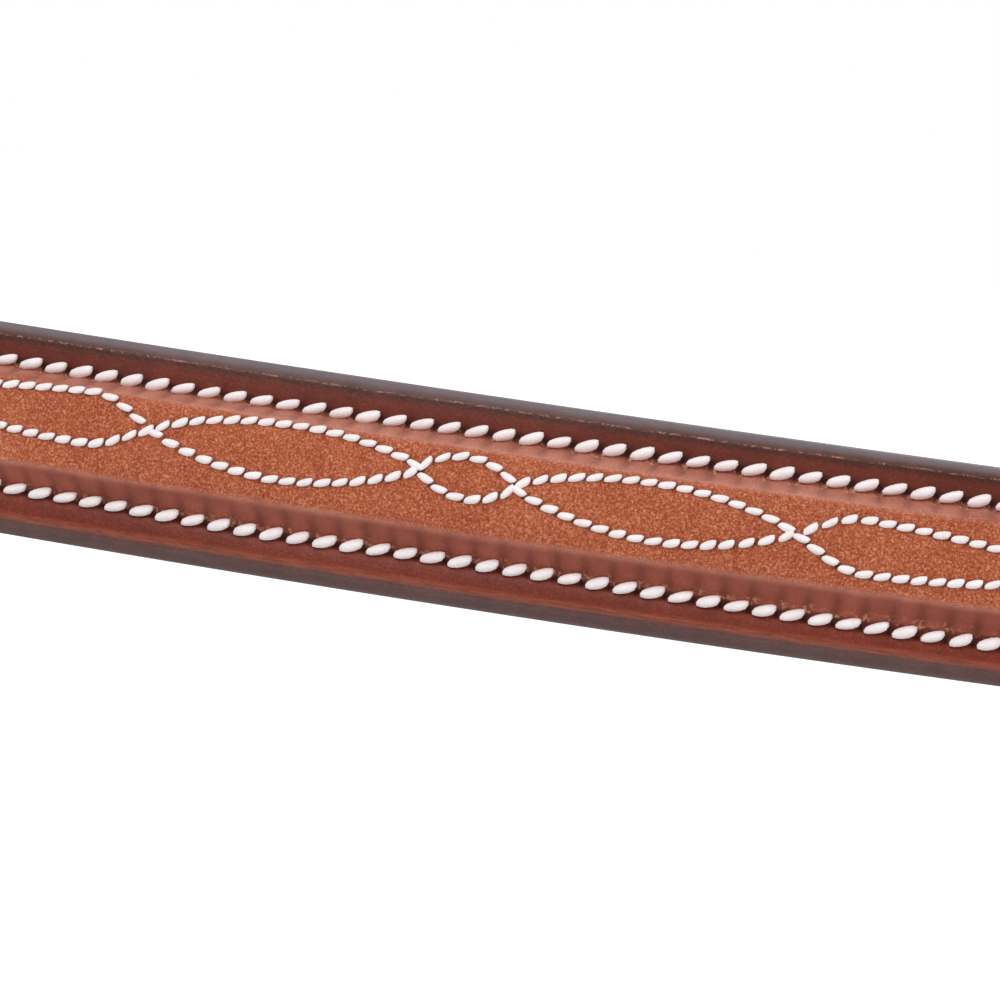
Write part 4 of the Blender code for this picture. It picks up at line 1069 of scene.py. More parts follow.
def thread():
    """Waxed cream thread of two twisted plies, drawn only as cream with a little fuzz."""
    made = Finish("waxed_thread", 0.7)
    fuzz = made.noise(5200.0, 3.0, 0.7)
    tone = made.noise(900.0, 2.0)
    base = made.ramp(tone, [(0.3, shade(246, 235, 234)), (0.7, shade(253, 247, 248))])
    base = made.mix(made.times(made.ramp(fuzz, [(0.55, 0.0), (0.75, 1.0)]), 0.25), base,
                    shade(214, 196, 194))
    made.look("Base Color", base)
    made.look("Sheen Weight", 0.2)
    made.bump(fuzz, 0.6, 0.12 * MM)
    return made.material


def padding():
    """Firm pressed felt, inside the raised bands."""
    made = Finish("pressed_felt", 0.95)
    fibre = made.noise(2400.0, 4.0, 0.7)
    made.look("Base Color", made.ramp(fibre, [(0.3, shade(120, 112, 100)), (0.7, shade(176, 168, 152))]))
    made.bump(fibre, 0.8, 0.2 * MM)
    return made.material


def steel():
    """Polished stainless wire, with faint rubbing."""
    made = Finish("polished_steel", 0.2, 1.0)
    rub = made.noise(1400.0, 4.0, 0.7)
    made.look("Base Color", made.ramp(rub, [(0.3, shade(150, 149, 147)), (0.7, shade(178, 177, 175))]))
    made.look("Roughness", made.ramp(rub, [(0.3, 0.12), (0.75, 0.3)]))
    made.bump(rub, 0.05, 0.05 * MM)
    return made.material


STRAP_LEATHER = smooth_leather("strap_leather", shade(110, 47, 33), shade(56, 38, 35), 0.36, 0.55)
KEEPER_LEATHER = smooth_leather("keeper_leather", shade(104, 43, 30), shade(54, 36, 33), 0.34, 0.45)
LINING_LEATHER = smooth_leather("lining_leather", shade(126, 62, 44), shade(66, 46, 42), 0.48, 0.35)
RAISED_LEATHER = raised_leather()
THREAD = thread()
PADDING = padding()
STEEL = steel()


# Buckles and keepers

def steel_piece(node, mesh):
    """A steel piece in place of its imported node."""
    return piece(node + "_steel", mesh, STEEL, BODY_OF[node], [node])


def buckle_frame(width):
    """The frame's line in its sloping plane: a square of round wire with rounded corners."""
    half = width / 2 + FRAME_PLAY + BAR_RADIUS
    slope = Vector((FAR_BAR_OUT, 0, FRAME_LENGTH))
    high = slope.length
    plane = Plane((0, 0, 0), (0, 1, 0), slope.normalized())
    route = Route(FRAME_CORNER - half, 0, 0)
    for side in (2 * half, high, 2 * half, high):
        route.run(side - 2 * FRAME_CORNER).bend(FRAME_CORNER, 90, SMALL_BEND_STEPS)
    return plane, route


def tongue_line():
    """The tongue's line as out and up: round its bar, through the billet's hole and on to the far bar."""
    wrap = BAR_RADIUS + SEAT + TONGUE_RADIUS
    inner = BILLET_OUT - STRAP_THICKNESS / 2
    outer = BILLET_OUT + STRAP_THICKNESS / 2 + SEAT + TONGUE_RADIUS
    rest = FAR_BAR_OUT + BAR_RADIUS + SEAT + TONGUE_RADIUS
    line = []
    for step in range(TONGUE_WRAP_STEPS):
        angle = radians(TONGUE_WRAP_START - TONGUE_WRAP_TURN * step)
        line.append((wrap * cos(angle), wrap * sin(angle)))
    line += [(inner - TONGUE_RADIUS, HOLE_RISE - TONGUE_RADIUS), (BILLET_OUT, HOLE_RISE)]
    set_down = HOLE_RISE + TONGUE_SET_DOWN
    line.append((outer, set_down))
    for share in TONGUE_RISE_SHARES:
        out = outer + (rest - outer) * share ** TONGUE_RISE_POWER
        line.append((out, set_down + (FRAME_LENGTH - set_down) * share))
    line.append((rest, FRAME_LENGTH + TONGUE_TIP_REACH))
    return line


def add_buckle(name, width, matrix):
    """A buckle's frame round its heel bar, its tongue, the sewn keeper against it and the runner."""
    plane, route = buckle_frame(width)
    section = []
    for step in range(WIRE_SIDES):
        angle = 2 * pi * step / WIRE_SIDES
        section.append((BAR_RADIUS * cos(angle), BAR_RADIUS * sin(angle), 0.0))
    rings = [strap_ring(plane, station, section, matrix) for station in route.stations]
    steel_piece(name + "_buckle_frame", bent(rings, reached(route.stations), closed=True))

    points = smoothed([matrix @ Vector((out, 0, along)) for out, along in tongue_line()], TONGUE_SMOOTHING)
    total = len(points) - 1
    radii = []
    for number in range(total + 1):
        to_tip = (total - number) / TONGUE_TAPER_POINTS
        radii.append(TONGUE_RADIUS * (TONGUE_TIP_SHARE + (1 - TONGUE_TIP_SHARE) * sqrt(min(1.0, to_tip))))
    flatten = [1.0 if number < total - TONGUE_FLAT_POINTS else TONGUE_FLATNESS
               for number in range(total + 1)]
    across = (matrix.to_3x3() @ Vector((0, 1, 0))).normalized()
    rings = ellipse_rings(points, across, radii, TONGUE_SIDES, flatten)
    steel_piece(name + "_buckle_tongue", bent(rings, lengths_along(points)))

    inner = CHAPE_RADIUS - LAYER - STRAP_THICKNESS / 2
    outer = BILLET_OUT + STRAP_THICKNESS / 2
    for kind, distance in (("fixed_keeper", FIXED_KEEPER_SET), ("runner_keeper", RUNNER_SET)):
        place = Matrix.Translation((0, 0, -distance - KEEPER_WIDTH / 2))
        add_keeper(name + "_" + kind, width, inner, outer, matrix @ place)


def add_keeper(node, width, inner, outer, matrix):
    """A leather loop round a strap's layers, drawn as one closed ring without the butted and sewn ends at its
    back.
    """
    wall = SEAT + KEEPER_THICKNESS / 2
    deep = outer - inner + 2 * wall
    broad = width + 2 * wall
    route = Route(inner, -broad / 2, 0)
    for side in (deep, broad, deep, broad):
        route.run(side - 2 * wall).bend(wall, 90, KEEPER_BEND_STEPS)
    section = strap_section(-KEEPER_WIDTH / 2, KEEPER_WIDTH / 2, KEEPER_THICKNESS, KEEPER_EDGE_SHARE,
                            KEEPER_EDGE_SHARE, KEEPER_CREASE_DEPTH)
    rings = [strap_ring(LEVEL, station, section, matrix) for station in route.stations]
    mesh = bent(rings, reached(route.stations), closed=True)
    return leather_piece(node, mesh, KEEPER_LEATHER)


def chape(route, turn):
    """Fold a strap's end round the heel bar and back against itself; turn is 1 to the left."""
    closing = 2 * CHAPE_RADIUS - LAYER
    route.bend(CHAPE_RADIUS, turn * 180, FOLD_STEPS)
    route.jog(turn * closing, CHAPE_JOG_RADIUS)
    return route.run(CHAPE_TAIL)


def tongue_slot(matrix):
    """The slot that lets the tongue out of a chape's fold."""
    reach = CHAPE_RADIUS + STRAP_THICKNESS / 2
    width = 2 * (TONGUE_RADIUS + TONGUE_SLOT_PLAY)
    high = 2 * reach + OVERRUN
    slot = box_cutter([((0, 0, OVERRUN / 2), (2 * (reach + SEAT), width, high))])
    slot.transform(matrix)
    return slot


def chape_stitches(sewing, width, matrix):
    """Two rows through a chape, seen on its back: from the sewn keeper to the end of its tail."""
    out = CHAPE_RADIUS - LAYER - STRAP_THICKNESS / 2
    high = -FIXED_KEEPER_SET - KEEPER_WIDTH - CHAPE_ROW_CLEAR
    low = -(jog_length(2 * CHAPE_RADIUS - LAYER, CHAPE_JOG_RADIUS) + CHAPE_TAIL) + CHAPE_ROW_SET
    for across in (-1, 1):
        line = on_flat(matrix, out, -1, across * (width / 2 - PLAIN_INSET))
        sewing.plain(line, low, high)


def lap_stitches(sewing, width, matrix, faces, start, end):
    """Rows near both edges through lapped straps, seen on their outer face and on their inner one."""
    inset = width / 2 - PLAIN_INSET
    for across in (-inset, inset):
        for out, side in zip(faces, (1, -1)):
            sewing.plain(on_flat(matrix, out, side, across), start, end)


# Straps

def add_crown():
    """The headpiece: two halves side by side over the poll, parted below the stop holes into billets."""
    plane = Plane((0, CROWN_Y, 0), (1, 0, 0), (0, 0, 1))
    length = CHEEK_BUCKLE_DROP + BILLET_TAIL - ARCH_DROP
    route = Route(0, LAYER + STRAP_THICKNESS / 2, 0)
    route.run(POLL_FLAT_HALF).bend(ARCH_RADIUS + STRAP_THICKNESS / 2, -90, ARCH_STEPS).run(length)
    split = CROWN_Y - SPLIT_Y
    shape = new_shape()

    def width_at(reach):
        """The headpiece is broadest over the poll."""
        narrowing = min(1.0, reach / (POLL_FLAT_HALF + SPLIT_DROP))
        return CROWN_WIDTH + POLL_SWELL * (1 + cos(pi * narrowing)) / 2

    def gap_at(point):
        """Half the space between the billets: a round stop hole, then an even slit."""
        past = -point.y - SPLIT_DROP
        if past <= -SPLIT_HOLE_RADIUS:
            return 0.0
        hole = sqrt(max(0.0, SPLIT_HOLE_RADIUS ** 2 - past ** 2))
        return hole if past < 0 else max(hole, SPLIT_GAP / 2)

    draw_in = pointed(1.0)
    for front, drop in ((True, CHEEK_BUCKLE_DROP), (False, THROAT_BUCKLE_DROP)):
        end = route.length - (CHEEK_BUCKLE_DROP - drop)
        stations = [station for station in route.both_ways() if abs(station[2]) < end - POINT_LENGTH]
        tips = [end - POINT_LENGTH * (1 - step / TIP_STEPS) for step in range(TIP_STEPS + 1)]
        stations = [route.at(-tip) for tip in reversed(tips)] + stations + [route.at(tip) for tip in tips]
        rings = []
        for station in stations:
            reach = abs(station[2])
            gap = gap_at(station[0])
            apart = eased(gap / (SPLIT_GAP / 2))
            outer = width_at(reach) / 2
            drawn = draw_in(min(reach, end), end)
            low, high = (split + gap, outer) if front else (-outer, split - gap)
            middle = (low + high) / 2
            low = middle + (low - middle) * drawn
            high = middle + (high - middle) * drawn
            shares = (apart, 1.0) if front else (1.0, apart)
            section = strap_section(low, high, STRAP_THICKNESS, *shares, crease=crease_depth(high - low))
            section = [(across, -out, edge) for across, out, edge in section]
            rings.append(strap_ring(plane, station, section))
        form(shape, rings, reached(stations))
    inside = [face for face in shape.faces
              if all(abs(vert.co.y - SPLIT_Y) < WELD for vert in face.verts)]
    bmesh.ops.delete(shape, geom=inside, context='FACES')
    bmesh.ops.remove_doubles(shape, verts=shape.verts, dist=WELD)
    out = CROWN_HALF_SPAN + STRAP_THICKNESS / 2
    holes = []
    for side in (-1, 1):
        holes += billet_holes(side, out, 0.0, CHEEK_BUCKLE_DROP, 1, 3)
        holes += billet_holes(side, out, THROAT_Y, THROAT_BUCKLE_DROP, 1, 1)
    cutter = oval_cutter(holes, STRAP_THICKNESS + OVERRUN)
    leather_piece("crownpiece", punched(mesh_of(shape), cutter))


def add_cheekpieces():
    """Both cheekpieces with their buckles, keepers and bit ends."""
    length = CHEEK_END_DROP - CHEEK_BUCKLE_DROP
    route = Route(CHAPE_RADIUS, -length, 90)
    route.run_point().run(length - POINT_LENGTH)
    chape(route, 1)
    for side, name in ((-1, "near_cheek"), (1, "off_cheek")):
        matrix = side_frame(side, 0.0, CHEEK_BUCKLE_DROP, SIDE_BAR_X)
        mesh = strap_mesh(route.stations, UPRIGHT, pointed(CHEEK_WIDTH, True), matrix)
        leather_piece(name + "piece", punched(mesh, tongue_slot(matrix)))
        add_buckle(name, CHEEK_WIDTH, matrix)
        add_bit_end(name, matrix)


def add_bit_end(name, matrix):
    """The bit billet that hooks on its stud, the stud, the two keepers and the sewing that holds them."""
    outer = CHAPE_RADIUS - LAYER
    inner = outer - LAYER
    level = CHEEK_BUCKLE_DROP
    bend = BIT_LOOP_RADIUS + STRAP_THICKNESS / 2
    opening = 2 * BIT_LOOP_RADIUS + STRAP_THICKNESS + BIT_SEAT_FLAT - LAYER
    turn_level = level - BIT_LOOP_DROP + bend + STRAP_THICKNESS / 2
    closing = jog_length(opening, BIT_JOG_RADIUS)
    route = Route(inner, level - BIT_RETURN_DROP, -90).run_point()
    route.run(route.point.y - turn_level - closing).jog(-opening, BIT_JOG_RADIUS)
    route.bend(bend, 90).run(BIT_SEAT_FLAT).bend(bend, 90)
    route.run(level - BIT_BILLET_DROP - route.point.y)
    mesh = strap_mesh(route.stations, UPRIGHT, pointed(CHEEK_WIDTH, True), matrix)
    stud_level = level - STUD_DROP
    face = outer + STRAP_THICKNESS / 2
    recess = STUD_BASE_THICKNESS + SEAT
    shank = STUD_RADIUS + STUD_PLAY
    base = STUD_BASE_RADIUS + STUD_PLAY
    hole = ((outer - LAYER / 2, 0, stud_level), THROUGH_SIDE, shank, shank)
    let_in = ((face + (OVERRUN - recess) / 2, 0, stud_level), THROUGH_SIDE, base, base)
    through = oval_cutter([hole], LAYER + STRAP_THICKNESS + OVERRUN)
    seat = oval_cutter([let_in], OVERRUN + recess)
    through.transform(matrix)
    seat.transform(matrix)
    leather_piece(name + "_bit_billet", punched(mesh, through, seat))
    add_stud(name, matrix, face - recess, inner, stud_level)
    front = CHAPE_RADIUS + STRAP_THICKNESS / 2
    back = inner - STRAP_THICKNESS / 2
    for kind, drop, high in (("upper", BIT_KEEPER_UPPER_DROP, front), ("lower", BIT_KEEPER_LOWER_DROP, face)):
        place = Matrix.Translation((0, 0, level - drop - KEEPER_WIDTH / 2))
        add_keeper(name + "_bit_keeper_" + kind, CHEEK_WIDTH, back, high, matrix @ place)

    sewing = Sewing(name + "_stitching", CHEEK_SEEDS[name])
    inset = CHEEK_WIDTH / 2 - PLAIN_INSET
    low = level - CHEEK_END_DROP + POINT_LENGTH - BIT_ROW_REACH
    keeper = level - BIT_KEEPER_UPPER_DROP
    top = level - BIT_BILLET_DROP - BIT_ROW_SET
    for across in (-1, 1):
        line = on_flat(matrix, front, 1, across * inset)
        sewing.plain(line, low, keeper - KEEPER_WIDTH - BIT_ROW_CLEAR)
        sewing.plain(line, keeper + BIT_ROW_CLEAR, top)
    chape_stitches(sewing, CHEEK_WIDTH, matrix)
    sewing.done(BODY_OF[name + "piece"])


def add_stud(name, matrix, floor, inner, level):
    """A hook stud: a let-in base and a hook that the billet's end buttons on to."""
    head = inner - STRAP_THICKNESS / 2 - STUD_PLAY - STUD_RADIUS
    start = floor + SEAT + STUD_BASE_THICKNESS / 2
    route = Route(start, level, 180)
    route.run(start - head - STUD_BEND_RADIUS).bend(STUD_BEND_RADIUS, 90, SMALL_BEND_STEPS)
    route.run(STUD_HOOK_DROP - STUD_BEND_RADIUS)
    points = [matrix @ Vector((station[0].x, 0, station[0].y)) for station in route.stations]
    radii = [STUD_RADIUS] * len(points)
    radii[-1] = STUD_RADIUS * STUD_TIP_SHARE
    across = (matrix.to_3x3() @ Vector((0, 1, 0))).normalized()
    shape = new_shape()
    form(shape, ellipse_rings(points, across, radii, STUD_SIDES), lengths_along(points))
    turn = Matrix.Translation((start, 0, level)) @ Matrix.Rotation(pi / 2, 4, 'Y')
    made = bmesh.ops.create_cone(shape, cap_ends=True, segments=STUD_BASE_SIDES, radius1=STUD_BASE_RADIUS,
                                 radius2=STUD_BASE_RADIUS, depth=STUD_BASE_THICKNESS, matrix=matrix @ turn)
    rims = dict.fromkeys(edge for vert in made["verts"] for edge in vert.link_edges
                         if len(edge.link_faces) == 2 and edge.calc_face_angle() > 1.0)
    bmesh.ops.bevel(shape, geom=list(rims), offset=STUD_BASE_BEVEL, segments=STUD_BEVEL_STEPS,
                    profile=0.5, material=-1, affect='EDGES')
    steel_piece(name + "_hook_stud", mesh_of(shape))


def add_throatlatch():
    """The throatlatch: a hanging loop with a chape and a buckle at each end."""
    plane = Plane((0, THROAT_Y, 0), (1, 0, 0), (0, 0, 1))
    out = SIDE_BAR_X + CHAPE_RADIUS
    route = Route(0, -THROAT_RUN_DROP - out, 0)
    route.bend(out, 90, THROAT_STEPS).run(THROAT_RUN_DROP - THROAT_BUCKLE_DROP)
    chape(route, 1)
    mesh = strap_mesh(route.both_ways(), plane, even(NARROW_WIDTH))
    sewing = Sewing("throatlatch_stitching", THROAT_SEED)
    slots = []
    for side, name in ((-1, "near_throat"), (1, "off_throat")):
        matrix = side_frame(side, THROAT_Y, THROAT_BUCKLE_DROP, SIDE_BAR_X)
        slots.append(tongue_slot(matrix))
        add_buckle(name, NARROW_WIDTH, matrix)
        chape_stitches(sewing, NARROW_WIDTH, matrix)
    leather_piece("throatlatch", punched(mesh, *slots))
    sewing.done(BODY_OF["throatlatch"])


def slot_fold(route, edge, closing):
    """Up from a tail's end, in against the strap and down round the slot's upper wall."""
    route.run(HANGER_TAIL).jog(-closing, HANGER_JOG_RADIUS).run(edge)
    return route.bend(SLOT_FOLD_RADIUS, 180)


def add_hanger():
    """The noseband hanger: the long strap over the poll, and the short one that it buckles to."""
    fold_level = SLOT_FOLD_RADIUS - SLOT_DROP
    edge = SLOT_TOP_WALL + SLOT_HALF_HEIGHT - SLOT_FOLD_RADIUS + HANGER_EDGE_CLEAR
    closing = 2 * SLOT_FOLD_RADIUS - LAYER
    tail_low = fold_level + edge + jog_length(closing, HANGER_JOG_RADIUS)
    tail_top = tail_low + HANGER_TAIL
    route = slot_fold(Route(HANGER_LOW_X - LAYER, tail_top, -90), edge, closing)
    step = HANGER_STEP_IN + LAYER
    route.run(-HANGER_STEP_DROP - jog_length(step, HANGER_STEP_RADIUS) - fold_level)
    route.jog(-step, HANGER_STEP_RADIUS).run(HANGER_STEP_DROP - ARCH_DROP)
    middle = ARCH_RADIUS - SEAT - STRAP_THICKNESS / 2
    route.bend(middle, 90, HANGER_ARCH_STEPS).run(2 * POLL_FLAT_HALF).bend(middle, 90, HANGER_ARCH_STEPS)
    route.run(HANGER_STEP_DROP - ARCH_DROP).jog(HANGER_STEP_IN, HANGER_STEP_RADIUS)
    route.run(HANGER_BUCKLE_DROP + BILLET_TAIL + route.point.y - POINT_LENGTH).run_point()
    mesh = strap_mesh(route.stations, UPRIGHT, pointed(NARROW_WIDTH))
    holes = billet_holes(-1, HANGER_BILLET_X, 0.0, HANGER_BUCKLE_DROP, 1, 2)
    cutter = oval_cutter(holes, STRAP_THICKNESS + OVERRUN)
    leather_piece("noseband_hanger", punched(mesh, cutter))

    matrix = side_frame(-1, 0.0, HANGER_BUCKLE_DROP, HANGER_BAR_X)
    short = slot_fold(Route(CHAPE_RADIUS - LAYER, tail_top + HANGER_BUCKLE_DROP, -90), edge, closing)
    chape(short.run(-short.point.y), 1)
    mesh = strap_mesh(short.stations, UPRIGHT, even(NARROW_WIDTH), matrix)
    leather_piece("hanger_short_strap", punched(mesh, tongue_slot(matrix)))
    add_buckle("hanger", NARROW_WIDTH, matrix)
    sewing = Sewing("hanger_stitching", HANGER_SEED)
    chape_stitches(sewing, NARROW_WIDTH, matrix)
    faces = (HANGER_LOW_X + STRAP_THICKNESS / 2, HANGER_LOW_X - LAYER - STRAP_THICKNESS / 2)
    for side in (-1, 1):
        lap_stitches(sewing, NARROW_WIDTH, side_frame(side, 0.0, 0.0, 0.0), faces,
                     tail_low + TAIL_ROW_LOW_SET, tail_top - TAIL_ROW_TOP_SET)
    sewing.done(BODY_OF["noseband_hanger"])


# Raised bands

def fancy_half(reach, drops):
    """Half the space between the two crossing waves at a distance from the band's middle."""
    start = 0.0
    for end, half, kind in drops:
        if reach <= end:
            share = (reach - start) / (end - start)
            if kind == "middle":
                return half * max(0.0, cos(pi / 2 * share)) ** MIDDLE_BLUNT
            if kind == "lens":
                return half * max(0.0, sin(pi * share)) ** LENS_BLUNT
            if share < DROP_PEAK:
                return half * sin(pi / 2 * share / DROP_PEAK) ** DROP_RISE
            fall = (1 - share) / (1 - DROP_PEAK)
            return half * fall * (1.0 + DROP_FULLNESS * sin(pi * fall))
        start = end
    return 0.0


def wave(drops, wander, first):
    """The line of one of the crossing waves; first is 1 for the wave that starts on the high side."""
    reach = drops[-1][0]
    line = []
    for step in range(WAVE_STEPS + 1):
        length = -reach + 2 * reach * step / WAVE_STEPS
        crossed = sum(end < abs(length) for end, _, _ in drops)
        side = first if crossed % 2 == 0 else -first
        line.append((length, between(length, *wander) + side * fancy_half(abs(length), drops)))
    return line


def spaced(line, pitch):
    """A wave's holes at an even pitch, with its stitches' middles between them."""
    done = [0.0]
    for before, after in zip(line, line[1:]):
        done.append(done[-1] + dist(before, after))
    count = 2 * round(done[-1] / pitch)
    places = []
    index = 0
    for number in range(count + 1):
        target = done[-1] * number / count
        while index < len(line) - 2 and done[index + 1] < target:
            index += 1
        share = (target - done[index]) / (done[index + 1] - done[index])
        places.append(tuple(a + (b - a) * share for a, b in zip(line[index], line[index + 1])))
    return places


def parted(over, under, clear):
    """The wave that runs under: where the other wave's stitches cover one of its own, the next close up."""
    covered = [any(dist(points[1], other[1]) < clear for other in over) for points in under]
    left = []
    for number, points in enumerate(under):
        if covered[number]:
            continue
        for reach in range(-CLOSE_UP_REACH, CLOSE_UP_REACH + 1):
            beside = number + reach
            if reach and 0 <= beside < len(under) and covered[beside]:
                share = (CLOSE_UP_SHARE - CLOSE_UP_FALL * abs(reach)) / abs(reach)
                shift = [(a - b) * share for a, b in zip(under[beside][1], points[1])]
                points = [(point[0] + shift[0], point[1] + shift[1]) for point in points]
        left.append(points)
    return left


class Band:
    """A raised band: its padding, its top leather and its stitching, on a lining."""

    def __init__(self, name, plane, route, size, rows, drift):
        self.name = name
        self.plane = plane
        self.route = route
        self.size = size
        self.rows = rows
        self.drift = drift

    def row_at(self, side, length):
        """How far an edge row is from the middle: handwork wanders a little."""
        return self.size.row + between(length, *self.drift[side])

    def fullness(self, length):
        """1 where the padding is full, 0 where it has run out."""
        return eased((self.size.raised - abs(length)) / (self.size.raised * RUN_OUT_SHARE))

    def narrowed(self, length):
        """The padding's share of its full width."""
        return RUN_OUT_WIDTH + (1 - RUN_OUT_WIDTH) * self.fullness(length)

    def swell(self, length, across):
        """How far the top leather stands above its flanges."""
        scale = self.narrowed(length)
        shoulder, foot = self.size.shoulder * scale, self.size.foot * scale
        reach = abs(across)
        start = shoulder - SHOULDER_ROUNDING * (foot - shoulder)
        dome = 1.0 - CROWN_FALL * min(1.0, reach / shoulder) ** 2
        return self.size.rise * self.fullness(length) * dome * (1 - eased((reach - start) / (foot - start)))

    def dip(self, length, across):
        """The stitched groove, its awl holes and the puckers that the tight thread draws in the flank."""
        reach = abs(across)
        side = 1 if across > 0 else -1
        row = self.row_at(side, length)
        # The second share is painted shade: in the awl holes, along the groove, in the puckers and round the
        # wells.
        depth, awl_shade = 0.0, 0.0
        for row_side, phase, pitch in self.rows:
            if row_side != side or abs(length) > self.size.end - GROOVE_END_SET:
                continue
            turn = ((length - phase) / pitch + 0.5) % 1.0 - 0.5
            to_hole = (0.5 - abs(turn)) * pitch
            to_row = reach - row
            near = exp(-(to_hole / AWL_REACH_ALONG) ** 2 - (to_row / AWL_REACH_ACROSS) ** 2)
            groove = exp(-(to_row / GROOVE_HALF) ** 2)
            depth += GROOVE_DEPTH * groove + AWL_DEPTH * near
            awl_shade = max(awl_shade, near, GROOVE_SHADE * groove)
            slack = (reach - self.size.shoulder) / (row - self.size.shoulder)
            if 0.0 < slack < 1.0:
                drawn = (0.5 + 0.5 * cos(2 * pi * (turn + 0.5))) ** PUCKER_NARROWNESS
                pulled = self.fullness(length) * drawn * sin(pi * slack) ** PUCKER_FULLNESS
                depth += PUCKER_DEPTH * pulled
                awl_shade = max(awl_shade, PUCKER_SHADE * pulled)
        if reach < self.size.shoulder:
            _, _, away = self.wells.find((length, across, 0.0))
            near = exp(-(away / WELL_REACH) ** 2)
            depth += WELL_DEPTH * near
            awl_shade = max(awl_shade, WELL_SHADE * near)
        return depth, awl_shade

    def zone(self, length, across):
        """0 at the crown's middle, 0.3 at its shoulder, 0.45 at the foot, 0.5 on the row, 0.8 at the rim."""
        size, scale = self.size, self.narrowed(length)
        places = (0.0, size.shoulder * scale, size.foot * scale, size.row, size.rim, size.half)
        plain = between(abs(across), places, BAND_ZONES)
        flat = 1 - eased(4 * self.fullness(length))
        return plain if plain > ROW_ZONE else plain + (FLANGE_ZONE - plain) * flat

    def samples(self, length, side):
        """Places across one half of the top leather, from the middle to the rim."""
        size, scale = self.size, self.narrowed(length)
        row = self.row_at(side, length)
        low, high = row - GROOVE_HALF, row + GROOVE_OUTER_HALF
        parts = (0.0, size.shoulder * scale, min(size.foot * scale, low - FOOT_CLEAR), low, high, size.rim)
        places = []
        for start, end, count in zip(parts, parts[1:], FACE_STEPS_ACROSS):
            places += [start + (end - start) * step / count for step in range(count)]
        return places

    def edge_angle(self, out):
        """The angle on the round edge at a distance out from the lining's middle."""
        return asin((out - EDGE_ROUND_OUT) / (BAND_TOP - EDGE_ROUND_OUT))

    def edge_arc(self, rim, first, last, steps):
        """The round edge outside a rim, from one angle to another: across, out and the angle."""
        arc = []
        for step in range(steps + 1):
            angle = first + (last - first) * step / steps
            arc.append((rim + (self.size.half - self.size.rim) * cos(angle),
                        EDGE_ROUND_OUT + (BAND_TOP - EDGE_ROUND_OUT) * sin(angle), angle))
        return arc

    def face_ring(self, length, nose):
        """The top leather's section: over the crown from edge to edge, and back along its underside."""
        station = self.route.at(length)
        to_end = min(1.0, (self.size.end - abs(length)) / POINT_LENGTH)
        drawn = FACE_END_WIDTH + (1 - FACE_END_WIDTH) * sqrt(max(0.0, 1 - (1 - to_end) ** 2))
        ring = []
        for side in (-1, 1):
            half_ring = [(across, None, None) for across in self.samples(length, side)] + nose
            for across, out, _ in reversed(half_ring) if side < 0 else half_ring[1:]:
                place = side * across
                awl_shade = 0.0
                if out is None:
                    depth, awl_shade = self.dip(length, place)
                    out = BAND_TOP + self.swell(length, place) - depth
                point = self.plane.place(station, place * drawn, out)
                ring.append((point, self.zone(length, place), awl_shade, 0.5 - 0.5 * place / self.size.half))
        scale = self.narrowed(length)
        inner = max(0.0, self.swell(length, 0.0) - CORE_PLAY)
        under = [(self.size.rim, 0.0), (self.size.foot * scale, 0.0),
                 (self.size.shoulder * scale - FACE_THICKNESS, inner)]
        under += [(-across, out) for across, out in reversed(under)]
        for across, out in under:
            point = self.plane.place(station, across * drawn, BAND_BASE + out)
            ring.append((point, FLANGE_ZONE, 0.0))
        return ring

    def add_face(self):
        """The top leather, bent from a fine grid, with its round edge over the lining's."""
        steps = ceil(2 * self.size.end / (self.size.pitch / FACE_STEPS_A_STITCH))
        lowest = self.edge_angle(LINING_THICKNESS / 2 + EDGE_LAP)
        nose = self.edge_arc(self.size.rim, pi / 2, lowest, FACE_ROUND_STEPS)
        lengths = [-self.size.end + 2 * self.size.end * step / steps for step in range(steps + 1)]
        node = self.name + "_face"
        mesh = bent([self.face_ring(length, nose) for length in lengths], lengths)
        face = leather_piece(node, mesh, RAISED_LEATHER)

    def core_ring(self, length):
        """The padding's section under the top leather."""
        station = self.route.at(length)
        half = self.size.foot * self.narrowed(length) - FACE_THICKNESS - SEAT
        ring = []
        for number in range(2 * CORE_HALF_STEPS + 1):
            across = half * (number / CORE_HALF_STEPS - 1)
            stretched = across * (half + FACE_THICKNESS) / half
            out = max(CORE_LEAST, self.swell(length, stretched) - CORE_PLAY - SEAT)
            ring.append((self.plane.place(station, across, BAND_BASE + out), 0.0, 0.0))
        for across in (half, -half):
            ring.append((self.plane.place(station, across, BAND_BASE), 0.0, 0.0))
        return ring

    def add_core(self):
        """The padding inside the raised part."""
        end = self.size.raised * (1 - RUN_OUT_SHARE * CORE_RUN_OUT)
        lengths = [-end + 2 * end * step / CORE_STEPS for step in range(CORE_STEPS + 1)]
        node = self.name + "_core"
        mesh = bent([self.core_ring(length) for length in lengths], lengths)
        core = piece(node + "_felt", mesh, PADDING, BODY_OF[node], [node])

    def lining_ring(self, station, half):
        """The lining's section: flat, its lower edges rounding off the band's edge."""
        face = LINING_THICKNESS / 2
        section = [(half - LINING_EDGE_FLAT, face, LINING_FACE_TONE)]
        rim = half - (self.size.half - self.size.rim)
        for across, out, angle in self.edge_arc(rim, self.edge_angle(face), -pi / 2, LINING_ROUND_STEPS):
            section.append((across, out, LINING_ROUND_TONE + (1 - LINING_ROUND_TONE) * cos(angle)))
        section += [(-across, out, edge) for across, out, edge in reversed(section)]
        return strap_ring(self.plane, station, section)

    def plan_fancy(self, drops, wander, pitch):
        """Work out both waves and sink the leather at their holes."""
        self.waves = [spaced(wave(drops, wander, side), pitch) for side in (-1, 1)]
        holes = [place for places in self.waves for place in places[::2]]
        self.wells = KDTree(len(holes))
        for number, (length, across) in enumerate(holes):
            self.wells.insert((length, across, 0.0), number)
        self.wells.balance()

    def point(self, length, across):
        """A point of the top leather, without its dips."""
        return self.plane.place(self.route.at(length), across, BAND_TOP + self.swell(length, across))

